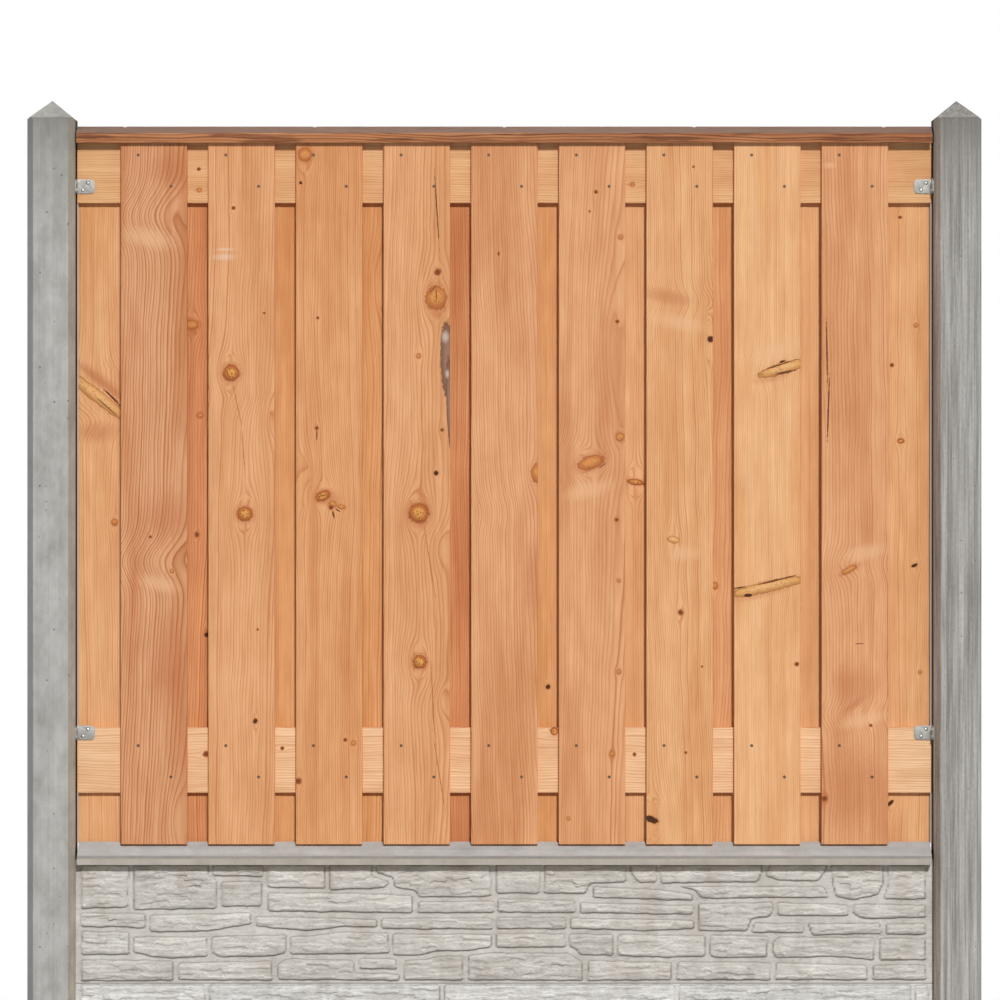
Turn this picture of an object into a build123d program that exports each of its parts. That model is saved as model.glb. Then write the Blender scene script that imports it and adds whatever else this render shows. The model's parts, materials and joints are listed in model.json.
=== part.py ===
"""One bay of privacy fencing: concrete posts and base boards around a hit-and-miss timber panel.

Millimetres. X runs along the fence, Y towards the back and Z up. The origin is on the ground line,
midway between the posts and in the middle of their depth.
"""
from build123d import *
import os
from math import ceil, radians, tan

os.makedirs("parts", exist_ok=True)

# Timber panel
PANEL_WIDTH = 1800  # rails, from end to end
PANEL_HEIGHT = 1488  # length of an upright board
BOARD_WIDTH = 140
BOARD_THICK = 16
BOARD_ROUND = 2  # rounding of a board's long edges
FRONT_BOARDS = 9
RAIL_HEIGHT = 138
RAIL_THICK = 18
LOW_RAIL_LIFT = 107  # underside of the bottom rail above the boards' feet
PANEL_LIFT = 1  # gap under the innermost edge of a board's foot

# Wooden cap rail
CAP_WIDTH = 80
CAP_EDGE = 20  # upright face at each side
CAP_RISE = 16
CAP_SEAT = 12  # depth of the groove that takes the panel's top
CAP_SIDE_GAP = 4  # beside the panel, in that groove
CAP_ROUND = 3

# Concrete posts
POST_SIDE = 100
POST_CHAMFER = 13
POST_POINT = 41  # height of the pointed head
POST_SHOW = 13  # straight shaft that shows above the cap rail
POST_BURIED = 650
PANEL_GAP = 3  # between an end of the panel and a post

# Concrete base boards
BASE_HEIGHT = 260
BASE_THICK = 36
BASE_BITE = 17  # length of a base board's end that stands in a post's groove
BASE_END_GAP = 3
BASE_SIDE_GAP = 2
GROOVE_ABOVE = 2  # groove that runs on above the upper base board

# Concrete coping on the base boards
COPING_WIDTH = 110
COPING_EDGE = 16
COPING_RISE = 29
COPING_SEAT = 8  # depth of the groove that takes the base board's top
COPING_SIDE_GAP = 2
COPING_END_GAP = 5.5

# Stone relief on the base boards' fronts
STONE_RELIEF = 5
STONE_DRAFT = 14  # slope of a stone's sides, in degrees
STONE_CORNER = 4
STONE_SIDE_MARGIN = 11  # plain margin beside a post
STONE_FOOT_MARGIN = 2
STONE_TOP_GAP = 2.5  # under the coping's lip or below the board's top edge
STONE_JOINT = 8
RUBBLE_LENGTH = 1780  # one repeat of the rubble pattern
RUBBLE_HEIGHT = 260
COURSES = 3
COURSE_STONE = 487  # length of a stone in the coarser courses
COURSE_START = 266  # first upright joint of the top course
COURSE_SHIFT = 165  # sideways step from one course to the next

# Angle brackets
BRACKET_REACH = 40  # along the rail, from the post's face
BRACKET_ARM = 26  # forwards along the post's face, from the rail
BRACKET_HEIGHT = 30
BRACKET_GAUGE = 2.5
BRACKET_BEND = 1.5  # inside radius
BRACKET_CORNER = 9
BRACKET_ARM_CORNER = 5
TOP_BRACKET_DROP = 103  # bracket's middle below the top rail's upper edge
LOW_BRACKET_DROP = 11  # bracket's middle below the bottom rail's upper edge
BRACKET_SCREW_SPREAD = 15  # height between a leaf's two screws
BRACKET_SCREW_STEP = 10.4  # step to the side between them on the rail
BRACKET_ARM_STEP = 8  # step to the side between them on the post

# Screws and wall plugs
BOARD_SCREW_SHANK = 1.6  # radii
BOARD_SCREW_HEAD = 3
HEAVY_SCREW_SHANK = 2
HEAVY_SCREW_HEAD = 4
ROUND_HEAD_HEIGHT = 2.4
ROUND_HEAD_CROWN = 2.4  # radius of the round head's flat top
COUNTERSINK = 90  # full angle of a countersunk head, in degrees
SCREW_POINT = 3  # length of the pointed end
SCREW_TIP = 0.4  # radius of the blunt tip
SCREW_STOP = 4  # wood left in front of the point
HOLE_PLAY = 0.1  # hole radius beyond the shank's
HOLE_RUN = 1  # hole depth beyond the point
SCREW_FROM_LEFT = 37
SCREW_FROM_RIGHT = 34
SCREW_FROM_RAIL_TOP = 38
SCREW_FROM_RAIL_FOOT = 34
BACK_SCREW_SHIFT = 8  # keeps the screws from behind clear of those from the front
CAP_SCREWS = 5
CAP_SCREW_LENGTH = 50
CAP_SCREW_SINK = 4
CAP_SCREW_MARGIN = 100  # from an end of the cap rail
PLUG_RADIUS = 3
PLUG_LENGTH = 30
POST_SCREW_LENGTH = 32

# Places across the fence
post_face = PANEL_WIDTH / 2 + PANEL_GAP
post_middle = post_face + POST_SIDE / 2
base_length = 2 * (post_face + BASE_BITE)
groove_depth = BASE_BITE + BASE_END_GAP
groove_width = BASE_THICK + 2 * BASE_SIDE_GAP
coping_length = 2 * (post_face - COPING_END_GAP)
board_pitch = (PANEL_WIDTH - BOARD_WIDTH) / FRONT_BOARDS
rail_face = RAIL_THICK / 2
board_face = rail_face + BOARD_THICK
leaf_face = rail_face + BRACKET_GAUGE

# Heights above the ground line
base_top = 2 * BASE_HEIGHT
coping_foot = base_top - COPING_SEAT
coping_eave = coping_foot + COPING_EDGE
coping_ridge = coping_eave + COPING_RISE
coping_at_rail = coping_ridge - COPING_RISE * RAIL_THICK / COPING_WIDTH
panel_foot = coping_at_rail + PANEL_LIFT
panel_top = panel_foot + PANEL_HEIGHT
low_rail_foot = panel_foot + LOW_RAIL_LIFT
top_rail_foot = panel_top - RAIL_HEIGHT
cap_foot = panel_top - CAP_SEAT
cap_eave = cap_foot + CAP_EDGE
cap_ridge = cap_eave + CAP_RISE
post_eave = cap_ridge + POST_SHOW
post_apex = post_eave + POST_POINT

# Planes that screws are driven from: each faces outwards, with its own Y pointing up
front_boards_plane = Plane.XZ.offset(board_face)
front_rail_plane = Plane.XZ.offset(rail_face)
front_leaf_plane = Plane.XZ.offset(leaf_face)
back_boards_plane = Plane(origin=(0, board_face, 0), x_dir=(-1, 0, 0), z_dir=(0, 1, 0))
back_rail_plane = Plane(origin=(0, rail_face, 0), x_dir=(-1, 0, 0), z_dir=(0, 1, 0))

# Screw lengths
board_screw_length = BOARD_THICK + RAIL_THICK - SCREW_STOP
leaf_screw_length = BRACKET_GAUGE + RAIL_THICK - SCREW_STOP
board_hole_in_rail = board_screw_length - BOARD_THICK + HOLE_RUN
leaf_hole_in_rail = leaf_screw_length - BRACKET_GAUGE + HOLE_RUN
plug_hole_depth = PLUG_LENGTH + HOLE_RUN


def save(part, name):
    """Label a finished piece and write it to its own STEP file."""
    part.label = name
    export_step(part, f"parts/{name}.step")


def countersunk_screws(points, shank, head, length):
    """Add countersunk screws at points of the current plane, with heads flush and driven inwards."""
    head_depth = (head - shank) / tan(radians(COUNTERSINK / 2))
    top = (Align.CENTER, Align.CENTER, Align.MAX)
    with Locations(*[(x, y, 0) for x, y in points]):
        Cone(shank, head, head_depth, align=top)
    with Locations(*[(x, y, -head_depth) for x, y in points]):
        Cylinder(shank, length - head_depth - SCREW_POINT, align=top)
    with Locations(*[(x, y, SCREW_POINT - length) for x, y in points]):
        Cone(SCREW_TIP, shank, SCREW_POINT, align=top)


def round_head_screws(points, length):
    """Add round-headed screws at points of the current plane, with the heads standing on it."""
    top = (Align.CENTER, Align.CENTER, Align.MAX)
    bottom = (Align.CENTER, Align.CENTER, Align.MIN)
    with Locations(*[(x, y, 0) for x, y in points]):
        Cone(HEAVY_SCREW_HEAD, ROUND_HEAD_CROWN, ROUND_HEAD_HEIGHT, align=bottom)
        Cylinder(HEAVY_SCREW_SHANK, length - SCREW_POINT, align=top)
    with Locations(*[(x, y, SCREW_POINT - length) for x, y in points]):
        Cone(SCREW_TIP, HEAVY_SCREW_SHANK, SCREW_POINT, align=top)


def countersunk_holes(points, shank, head, depth):
    """Cut clearance holes for countersunk screws at points of the current plane."""
    with Locations(*points):
        CounterSinkHole(shank + HOLE_PLAY, head, depth, counter_sink_angle=COUNTERSINK)


def plain_holes(points, radius, depth):
    """Cut straight holes inwards at points of the current plane."""
    with Locations(*points):
        Hole(radius, depth)


def board_fixings(centre, shift=0):
    """Return a board's four screw places: at each rail one upper left and one lower right."""
    left = centre - BOARD_WIDTH / 2 + SCREW_FROM_LEFT
    right = centre + BOARD_WIDTH / 2 - SCREW_FROM_RIGHT
    points = []
    for rail_foot in (low_rail_foot, top_rail_foot):
        points.append((left, rail_foot + RAIL_HEIGHT - SCREW_FROM_RAIL_TOP - shift))
        points.append((right, rail_foot + SCREW_FROM_RAIL_FOOT + shift))
    return points


def leaf_fixings(side, height):
    """Return the two screw places on a bracket's rail leaf: lower left and upper right."""
    middle = side * (post_face - BRACKET_REACH / 2)
    step = BRACKET_SCREW_STEP / 2
    rise = BRACKET_SCREW_SPREAD / 2
    return [(middle - step, height - rise), (middle + step, height + rise)]


def arm_fixings(side, height):
    """Return the two screw places on a bracket's post leaf, as depth behind the origin and height."""
    middle = -rail_face - BRACKET_GAUGE - (BRACKET_ARM - BRACKET_GAUGE) / 2
    step = side * BRACKET_ARM_STEP / 2
    rise = BRACKET_SCREW_SPREAD / 2
    return [(middle + step, height - rise), (middle - step, height + rise)]


def arm_plane(side, inset):
    """Return the upright plane beside a post: it faces the bay, inset from the post's face."""
    return Plane(origin=(side * (post_face - inset), 0, 0), x_dir=(0, -side, 0), z_dir=(-side, 0, 0))


def on_arm(points, side):
    """Turn depths behind the origin into places on the plane beside a post."""
    return [(-side * depth, height) for depth, height in points]


# Brackets: node name, side of the bay and height of the bracket's middle
top_bracket = panel_top - TOP_BRACKET_DROP
low_bracket = low_rail_foot + RAIL_HEIGHT - LOW_BRACKET_DROP
brackets = [
    ("bracket_top_left", -1, top_bracket),
    ("bracket_top_right", 1, top_bracket),
    ("bracket_bottom_left", -1, low_bracket),
    ("bracket_bottom_right", 1, low_bracket),
]

# Boards: the front row stands over the gaps of the back row
front_centres = [(i - (FRONT_BOARDS - 1) / 2) * board_pitch for i in range(FRONT_BOARDS)]
back_centres = [(i - FRONT_BOARDS / 2) * board_pitch for i in range(FRONT_BOARDS + 1)]
front_points = [point for centre in front_centres for point in board_fixings(centre)]
back_points = [point for centre in back_centres for point in board_fixings(-centre, BACK_SCREW_SHIFT)]

# Posts: chamfered shaft with a pointed head, a groove for the base boards, holes for wall plugs
for name, side in (("post_left", -1), ("post_right", 1)):
    middle = side * post_middle
    half = POST_SIDE / 2
    gable = [
        (-half, -POST_BURIED),
        (half, -POST_BURIED),
        (half, post_eave),
        (0, post_apex),
        (-half, post_eave),
    ]
    with BuildPart() as post:
        with BuildSketch(Plane.XY.offset(-POST_BURIED)) as section:
            with Locations((middle, 0)):
                Rectangle(POST_SIDE, POST_SIDE)
            chamfer(section.vertices(), POST_CHAMFER)
        extrude(amount=POST_BURIED + post_apex)
        with BuildSketch(Plane.XZ):
            with Locations((middle, 0)):
                Polygon(*gable)
        extrude(amount=half, both=True, mode=Mode.INTERSECT)
        with BuildSketch(Plane.YZ.offset(middle)):
            Polygon(*gable)
        extrude(amount=half, both=True, mode=Mode.INTERSECT)
        with BuildSketch(Plane.XY):
            with Locations((side * (post_face + groove_depth / 2), 0)):
                Rectangle(groove_depth, groove_width)
        extrude(amount=base_top + GROOVE_ABOVE, mode=Mode.SUBTRACT)
        for _, bracket_side, height in brackets:
            if bracket_side == side:
                with Locations(arm_plane(side, 0)):
                    plain_holes(on_arm(arm_fixings(side, height), side), PLUG_RADIUS, plug_hole_depth)
    save(post.part, name)

# Rubble pattern: corner points of its stones, from the field's lower left corner. The stones of
# the top course run on upwards and are cut off under the coping.
rubble = [
    [(0, 2), (195, 3), (195, 47), (0, 49)],
    [(204, 4), (404, 3), (403, 46), (204, 42)],
    [(415, 5), (672, 3), (671, 19), (577, 21), (575, 48), (430, 50), (415, 40)],
    [(585, 28), (666, 26), (664, 50), (585, 51)],
    [(680, 4), (806, 3), (806, 57), (757, 57), (722, 48), (682, 48)],
    [(815, 4), (1057, 3), (1056, 44), (1030, 62), (860, 63), (815, 57)],
    [(1065, 3), (1244, 4), (1245, 43), (1068, 47)],
    [(1253, 4), (1453, 4), (1453, 43), (1256, 45)],
    [(1461, 5), (1658, 4), (1656, 37), (1464, 42)],
    [(1666, 5), (1780, 4), (1780, 37), (1668, 38)],
    [(0, 57), (103, 58), (103, 107), (0, 108)],
    [(110, 62), (150, 54), (195, 50), (268, 54), (267, 96), (110, 97)],
    [(276, 62), (292, 53), (405, 54), (432, 63), (433, 101), (276, 98)],
    [(440, 58), (650, 60), (648, 105), (556, 107), (470, 98), (440, 97)],
    [(657, 56), (718, 57), (752, 66), (820, 65), (866, 74), (866, 102), (657, 103)],
    [(874, 72), (1021, 73), (1020, 103), (874, 104)],
    [(1028, 74), (1042, 71), (1054, 57), (1122, 56), (1122, 102), (1028, 103)],
    [(1131, 55), (1240, 51), (1315, 55), (1315, 99), (1131, 102)],
    [(1323, 57), (1335, 51), (1444, 52), (1448, 98), (1325, 101)],
    [(1454, 66), (1464, 50), (1582, 54), (1671, 46), (1672, 95), (1470, 97), (1457, 88)],
    [(1681, 46), (1780, 46), (1780, 93), (1682, 94)],
    [(0, 116), (95, 116), (128, 112), (137, 116), (136, 146), (0, 147)],
    [(146, 105), (270, 107), (360, 122), (358, 147), (146, 142)],
    [(367, 117), (470, 108), (560, 117), (624, 115), (624, 134), (367, 140)],
    [(632, 112), (868, 111), (868, 137), (632, 136)],
    [(876, 112), (1022, 111), (1022, 137), (876, 139)],
    [(1030, 112), (1180, 108), (1292, 111), (1292, 132), (1030, 136)],
    [(1300, 108), (1402, 107), (1414, 134), (1450, 136), (1458, 148), (1458, 169), (1300, 167)],
    [(1411, 104), (1523, 104), (1521, 125), (1418, 126)],
    [(1530, 125), (1540, 98), (1687, 102), (1683, 126)],
    [(1695, 100), (1780, 100), (1780, 125), (1696, 124)],
    [(878, 147), (1042, 145), (1040, 173), (878, 177)],
    [(1050, 145), (1290, 142), (1291, 163), (1050, 169)],
    [(1466, 140), (1618, 139), (1616, 165), (1466, 169)],
    [(1626, 143), (1645, 134), (1780, 135), (1780, 164), (1626, 166)],
    [(0, 154), (100, 158), (103, 260), (0, 260)],
    [(110, 152), (286, 154), (286, 216), (270, 226), (268, 260), (110, 260)],
    [(277, 223), (384, 222), (384, 260), (277, 260)],
    [(296, 158), (382, 159), (382, 214), (296, 213)],
    [(392, 199), (515, 197), (516, 260), (392, 260)],
    [(393, 149), (698, 145), (698, 184), (560, 189), (393, 190)],
    [(523, 194), (640, 198), (650, 212), (614, 224), (613, 260), (523, 260)],
    [(622, 260), (622, 229), (657, 221), (660, 200), (706, 192), (712, 179), (864, 180), (864, 260)],
    [(707, 145), (871, 146), (871, 172), (712, 171)],
    [(874, 187), (966, 186), (966, 260), (874, 260)],
    [(975, 187), (1062, 185), (1074, 207), (1147, 210), (1147, 260), (975, 260)],
    [(1175, 210), (1212, 210), (1212, 260), (1155, 260), (1157, 228)],
    [(1220, 208), (1425, 211), (1435, 228), (1435, 260), (1220, 260)],
    [(1442, 223), (1472, 213), (1552, 213), (1572, 240), (1572, 260), (1455, 260)],
    [(1077, 178), (1290, 171), (1288, 186), (1236, 195), (1080, 203)],
    [(1305, 176), (1576, 178), (1564, 203), (1252, 203), (1292, 194)],
    [(1582, 208), (1590, 180), (1630, 173), (1680, 184), (1690, 212), (1690, 260), (1580, 260)],
    [(1690, 174), (1780, 174), (1780, 260), (1700, 260), (1700, 210)],
]


def coursed_stones(length, height):
    """Return the corner points of long, even stones laid in courses over a field."""
    course = (height + STONE_JOINT) / COURSES
    pitch = COURSE_STONE + STONE_JOINT
    outlines = []
    for row in range(COURSES):
        top = height - row * course
        foot = top - course + STONE_JOINT
        start = (COURSE_START + row * COURSE_SHIFT) % pitch - pitch
        for i in range(ceil(length / pitch) + 1):
            left = start + i * pitch + STONE_JOINT / 2
            right = left + COURSE_STONE
            outlines.append([(left, foot), (right, foot), (right, top), (left, top)])
    return outlines


# Base boards: plain at the back, stone relief on the front between the posts
field_length = 2 * (post_face - STONE_SIDE_MARGIN)
upper_field = BASE_HEIGHT - COPING_SEAT - STONE_TOP_GAP - STONE_FOOT_MARGIN
lower_field = BASE_HEIGHT - STONE_TOP_GAP - STONE_FOOT_MARGIN
rubble_repeats = [
    (column * (RUBBLE_LENGTH + STONE_JOINT), row * (RUBBLE_HEIGHT + STONE_JOINT))
    for column in range(ceil(field_length / RUBBLE_LENGTH))
    for row in range(ceil(upper_field / RUBBLE_HEIGHT))
]
base_boards = [
    ("base_board_lower", 0, lower_field, coursed_stones(field_length, lower_field), [(0, 0)]),
    ("base_board_upper", BASE_HEIGHT, upper_field, rubble, rubble_repeats),
]
for name, foot, field_height, outlines, repeats in base_boards:
    field_foot = foot + STONE_FOOT_MARGIN
    with BuildPart() as base_board:
        with BuildSketch(Plane.XY.offset(foot)):
            Rectangle(base_length, BASE_THICK)
        extrude(amount=BASE_HEIGHT)
        with BuildSketch(Plane.XZ.offset(BASE_THICK / 2)) as stones:
            for across, up in repeats:
                with Locations((across - field_length / 2, up + field_foot)):
                    for outline in outlines:
                        Polygon(*outline)
            chamfer(stones.vertices(), STONE_CORNER)
            with Locations((0, field_foot + field_height / 2)):
                Rectangle(field_length, field_height, mode=Mode.INTERSECT)
        extrude(amount=STONE_RELIEF, taper=STONE_DRAFT)
    save(base_board.part, name)

# Coping: ridged, with a groove that sits over the upper base board
coping_half = COPING_WIDTH / 2
coping_groove = BASE_THICK / 2 + COPING_SIDE_GAP
with BuildPart() as base_coping:
    with BuildSketch(Plane.YZ):
        Polygon(
            (-coping_half, coping_foot),
            (-coping_groove, coping_foot),
            (-coping_groove, base_top),
            (coping_groove, base_top),
            (coping_groove, coping_foot),
            (coping_half, coping_foot),
            (coping_half, coping_eave),
            (0, coping_ridge),
            (-coping_half, coping_eave),
        )
    extrude(amount=coping_length / 2, both=True)
save(base_coping.part, "base_coping")

# Cap rail: ridged, with a groove for the panel's top and counterbored screw holes on the ridge
cap_half = CAP_WIDTH / 2
cap_groove = board_face + CAP_SIDE_GAP
cap_screw_spread = (PANEL_WIDTH - 2 * CAP_SCREW_MARGIN) / (CAP_SCREWS - 1)
cap_points = [(i * cap_screw_spread - PANEL_WIDTH / 2 + CAP_SCREW_MARGIN, 0) for i in range(CAP_SCREWS)]
cap_seat_plane = Plane.XY.offset(cap_ridge - CAP_SCREW_SINK)
with BuildPart() as cap_rail:
    with BuildSketch(Plane.YZ) as cap_section:
        Polygon(
            (-cap_half, cap_foot),
            (-cap_groove, cap_foot),
            (-cap_groove, panel_top),
            (cap_groove, panel_top),
            (cap_groove, cap_foot),
            (cap_half, cap_foot),
            (cap_half, cap_eave),
            (0, cap_ridge),
            (-cap_half, cap_eave),
        )
        outer_corners = [(y, z) for y in (-cap_half, cap_half) for z in (cap_foot, cap_eave)]
        rounded = [cap_section.vertices().sort_by_distance((0, y, z))[0] for y, z in outer_corners]
        fillet(rounded, CAP_ROUND)
    extrude(amount=PANEL_WIDTH / 2, both=True)
    with Locations(Plane.XY.offset(cap_ridge)):
        plain_holes(cap_points, HEAVY_SCREW_HEAD + HOLE_PLAY, CAP_SCREW_SINK)
    with Locations(cap_seat_plane):
        countersunk_holes(cap_points, HEAVY_SCREW_SHANK, HEAVY_SCREW_HEAD, CAP_SCREW_LENGTH)
save(cap_rail.part, "cap_rail")

# Rails: planks on edge that the boards and brackets are screwed to
cap_hole_depth = CAP_SCREW_LENGTH - (cap_ridge - CAP_SCREW_SINK - panel_top) + HOLE_RUN
for name, foot, bracket_height in (
    ("rail_bottom", low_rail_foot, low_bracket),
    ("rail_top", top_rail_foot, top_bracket),
):
    with BuildPart() as rail:
        with BuildSketch(Plane.XY.offset(foot)):
            Rectangle(PANEL_WIDTH, RAIL_THICK)
        extrude(amount=RAIL_HEIGHT)
        fillet(rail.edges().filter_by(Axis.X), BOARD_ROUND)
        with Locations(front_rail_plane):
            on_this_rail = [(x, z) for x, z in front_points if foot < z < foot + RAIL_HEIGHT]
            plain_holes(on_this_rail, BOARD_SCREW_SHANK + HOLE_PLAY, board_hole_in_rail)
            for side in (-1, 1):
                leaf_points = leaf_fixings(side, bracket_height)
                plain_holes(leaf_points, HEAVY_SCREW_SHANK + HOLE_PLAY, leaf_hole_in_rail)
        with Locations(back_rail_plane):
            on_this_rail = [(x, z) for x, z in back_points if foot < z < foot + RAIL_HEIGHT]
            plain_holes(on_this_rail, BOARD_SCREW_SHANK + HOLE_PLAY, board_hole_in_rail)
        if foot == top_rail_foot:
            with Locations(Plane.XY.offset(panel_top)):
                plain_holes(cap_points, HEAVY_SCREW_SHANK + HOLE_PLAY, cap_hole_depth)
    save(rail.part, name)

# Boards: uprights on both faces of the rails
board_middle = rail_face + BOARD_THICK / 2
for row, centres, depth, plane, mirrored, shift in (
    ("front_board", front_centres, -board_middle, front_boards_plane, 1, 0),
    ("back_board", back_centres, board_middle, back_boards_plane, -1, BACK_SCREW_SHIFT),
):
    for number, centre in enumerate(centres, start=1):
        with BuildPart() as board:
            with BuildSketch(Plane.XY.offset(panel_foot)):
                with Locations((centre, depth)):
                    Rectangle(BOARD_WIDTH, BOARD_THICK)
            extrude(amount=PANEL_HEIGHT)
            fillet(board.edges().filter_by(Axis.Z), BOARD_ROUND)
            with Locations(plane):
                points = board_fixings(mirrored * centre, shift)
                countersunk_holes(points, BOARD_SCREW_SHANK, BOARD_SCREW_HEAD, BOARD_THICK)
        save(board.part, f"{row}_{number}")

# Brackets: a leaf on the rail's front, bent forwards along the post's face
outer_bend = BRACKET_BEND + BRACKET_GAUGE
for name, side, height in brackets:
    elbow = side * post_face
    inner_elbow = side * (post_face - BRACKET_GAUGE)
    leaf_end = side * (post_face - BRACKET_REACH)
    arm_end = -rail_face - BRACKET_ARM
    with BuildPart() as bracket:
        with BuildSketch(Plane.XY.offset(height - BRACKET_HEIGHT / 2)) as section:
            Polygon(
                (elbow, -rail_face),
                (elbow, arm_end),
                (inner_elbow, arm_end),
                (inner_elbow, -leaf_face),
                (leaf_end, -leaf_face),
                (leaf_end, -rail_face),
            )
            fillet(section.vertices().sort_by_distance((elbow, -rail_face, 0))[0], outer_bend)
            fillet(section.vertices().sort_by_distance((inner_elbow, -leaf_face, 0))[0], BRACKET_BEND)
        extrude(amount=BRACKET_HEIGHT)
        leaf_corners = bracket.edges().filter_by(Axis.Y).group_by(Axis.X)[-1 if side < 0 else 0]
        fillet(leaf_corners, BRACKET_CORNER)
        arm_corners = bracket.edges().filter_by(Axis.X).group_by(Axis.Y)[0]
        fillet(arm_corners, BRACKET_ARM_CORNER)
        hole = HEAVY_SCREW_SHANK + HOLE_PLAY
        with Locations(front_leaf_plane):
            plain_holes(leaf_fixings(side, height), hole, BRACKET_GAUGE)
        with Locations(arm_plane(side, BRACKET_GAUGE)):
            plain_holes(on_arm(arm_fixings(side, height), side), hole, BRACKET_GAUGE)
    save(bracket.part, name)

# Screws through the brackets' rail leaves
with BuildPart() as bracket_rail_screws:
    with Locations(front_leaf_plane):
        for _, side, height in brackets:
            round_head_screws(leaf_fixings(side, height), leaf_screw_length)
save(bracket_rail_screws.part, "bracket_rail_screws")

# Screws through the brackets' post leaves
with BuildPart() as bracket_post_screws:
    for _, side, height in brackets:
        with Locations(arm_plane(side, BRACKET_GAUGE)):
            round_head_screws(on_arm(arm_fixings(side, height), side), POST_SCREW_LENGTH)
save(bracket_post_screws.part, "bracket_post_screws")

# Wall plugs: sleeves in the posts around those screws
with BuildPart() as wall_plugs:
    for _, side, height in brackets:
        with Locations(arm_plane(side, 0)):
            with Locations(*on_arm(arm_fixings(side, height), side)):
                Cylinder(PLUG_RADIUS, PLUG_LENGTH, align=(Align.CENTER, Align.CENTER, Align.MAX))
                Hole(HEAVY_SCREW_SHANK + HOLE_PLAY, PLUG_LENGTH)
save(wall_plugs.part, "wall_plugs")

# Screws of the boards and of the cap rail
with BuildPart() as front_board_screws:
    with Locations(front_boards_plane):
        countersunk_screws(front_points, BOARD_SCREW_SHANK, BOARD_SCREW_HEAD, board_screw_length)
save(front_board_screws.part, "front_board_screws")

with BuildPart() as back_board_screws:
    with Locations(back_boards_plane):
        countersunk_screws(back_points, BOARD_SCREW_SHANK, BOARD_SCREW_HEAD, board_screw_length)
save(back_board_screws.part, "back_board_screws")

with BuildPart() as cap_rail_screws:
    with Locations(cap_seat_plane):
        countersunk_screws(cap_points, HEAVY_SCREW_SHANK, HEAVY_SCREW_HEAD, CAP_SCREW_LENGTH)
save(cap_rail_screws.part, "cap_rail_screws")
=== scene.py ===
"""The looks of one bay of privacy fencing: weathered concrete, planed Douglas fir and zinc.

Metres. X runs along the fence, Y towards the back and Z up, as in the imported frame.
"""

import json
import logging
import math
import random
from dataclasses import dataclass, field, replace
from enum import Enum

import bmesh
import bpy
import numpy as np
from mathutils import Matrix, Vector, noise
from mathutils.bvhtree import BVHTree

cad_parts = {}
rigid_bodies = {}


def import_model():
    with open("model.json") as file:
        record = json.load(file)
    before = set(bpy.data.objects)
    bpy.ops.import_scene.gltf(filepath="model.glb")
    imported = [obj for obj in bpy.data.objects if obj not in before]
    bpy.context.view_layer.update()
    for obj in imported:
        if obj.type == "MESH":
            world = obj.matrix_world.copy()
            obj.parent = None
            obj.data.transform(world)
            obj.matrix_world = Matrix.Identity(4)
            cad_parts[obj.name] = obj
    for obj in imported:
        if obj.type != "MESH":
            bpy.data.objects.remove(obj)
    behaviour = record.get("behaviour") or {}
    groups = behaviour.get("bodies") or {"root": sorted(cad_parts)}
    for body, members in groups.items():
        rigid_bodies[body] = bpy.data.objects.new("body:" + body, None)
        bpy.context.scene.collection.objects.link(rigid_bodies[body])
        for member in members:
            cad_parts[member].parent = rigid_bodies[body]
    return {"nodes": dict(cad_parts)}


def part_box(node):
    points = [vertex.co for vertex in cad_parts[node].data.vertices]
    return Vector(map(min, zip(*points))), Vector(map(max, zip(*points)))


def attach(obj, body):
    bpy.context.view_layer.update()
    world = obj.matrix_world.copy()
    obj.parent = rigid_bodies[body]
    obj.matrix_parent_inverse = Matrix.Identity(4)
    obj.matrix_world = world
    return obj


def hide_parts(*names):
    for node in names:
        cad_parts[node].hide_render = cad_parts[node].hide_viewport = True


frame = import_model()

LOG = logging.getLogger("fence")
MM = 0.001
ROOT = "root"
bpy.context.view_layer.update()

# The photograph's view
VIEW_WIDTH_PX = 1000
FOCAL_PX = 5476
MIDDLE_COLUMN = 504.4
EYE_ROW = 450
EYE_HEIGHT = 1.383
EYE_DISTANCE = 11.55
SENSOR_MM = 36

# Heights above the ground of the posts' eaves, where the concrete's brightness changes, and of the
# coping's arris, where dirt marks it
POST_EAVE = 2.0783
COPING_ARRIS = 0.528

# How dark a growth ring is from one spring to the next
SEASONS = [
    (0, "#505050"), (0.14, "#000000"), (0.45, "#484848"),
    (0.72, "#b0b0b0"), (0.9, "#ffffff"), (1, "#505050"),
]
# Cells in millimetres, width and brightness of the clefts in split stone
CLEFTS = (((52, 9, 9.0), 0.015, 0.68), ((26, 6, 6.0), 0.02, 0.93))
# How far a round head stands above its seat, and how near two points count as one
ROUND_HEAD_RISE = 2.4 * MM
SAME_PLACE = 1e-6

# Settings of the nodes that blend two colours, tint one by another, and ease in and out
BLEND = {"out": 2, "data_type": "RGBA"}
TINT = BLEND | {"blend_type": "MULTIPLY"}
SMOOTH = {"interpolation_type": "SMOOTHSTEP"}

Socket = bpy.types.NodeSocket
Tree = bpy.types.NodeTree


def linear(colour: str) -> tuple[float, float, float, float]:
    """Turn an sRGB hex colour into linear red, green, blue and alpha.

    Args:
        colour: Six hex digits after a hash.

    Returns:
        The four linear channels.
    """
    channels = [int(colour[i : i + 2], 16) / 255 for i in (1, 3, 5)]
    turned = [c / 12.92 if c <= 0.04045 else ((c + 0.055) / 1.055) ** 2.4 for c in channels]
    return (*turned, 1.0)


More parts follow.
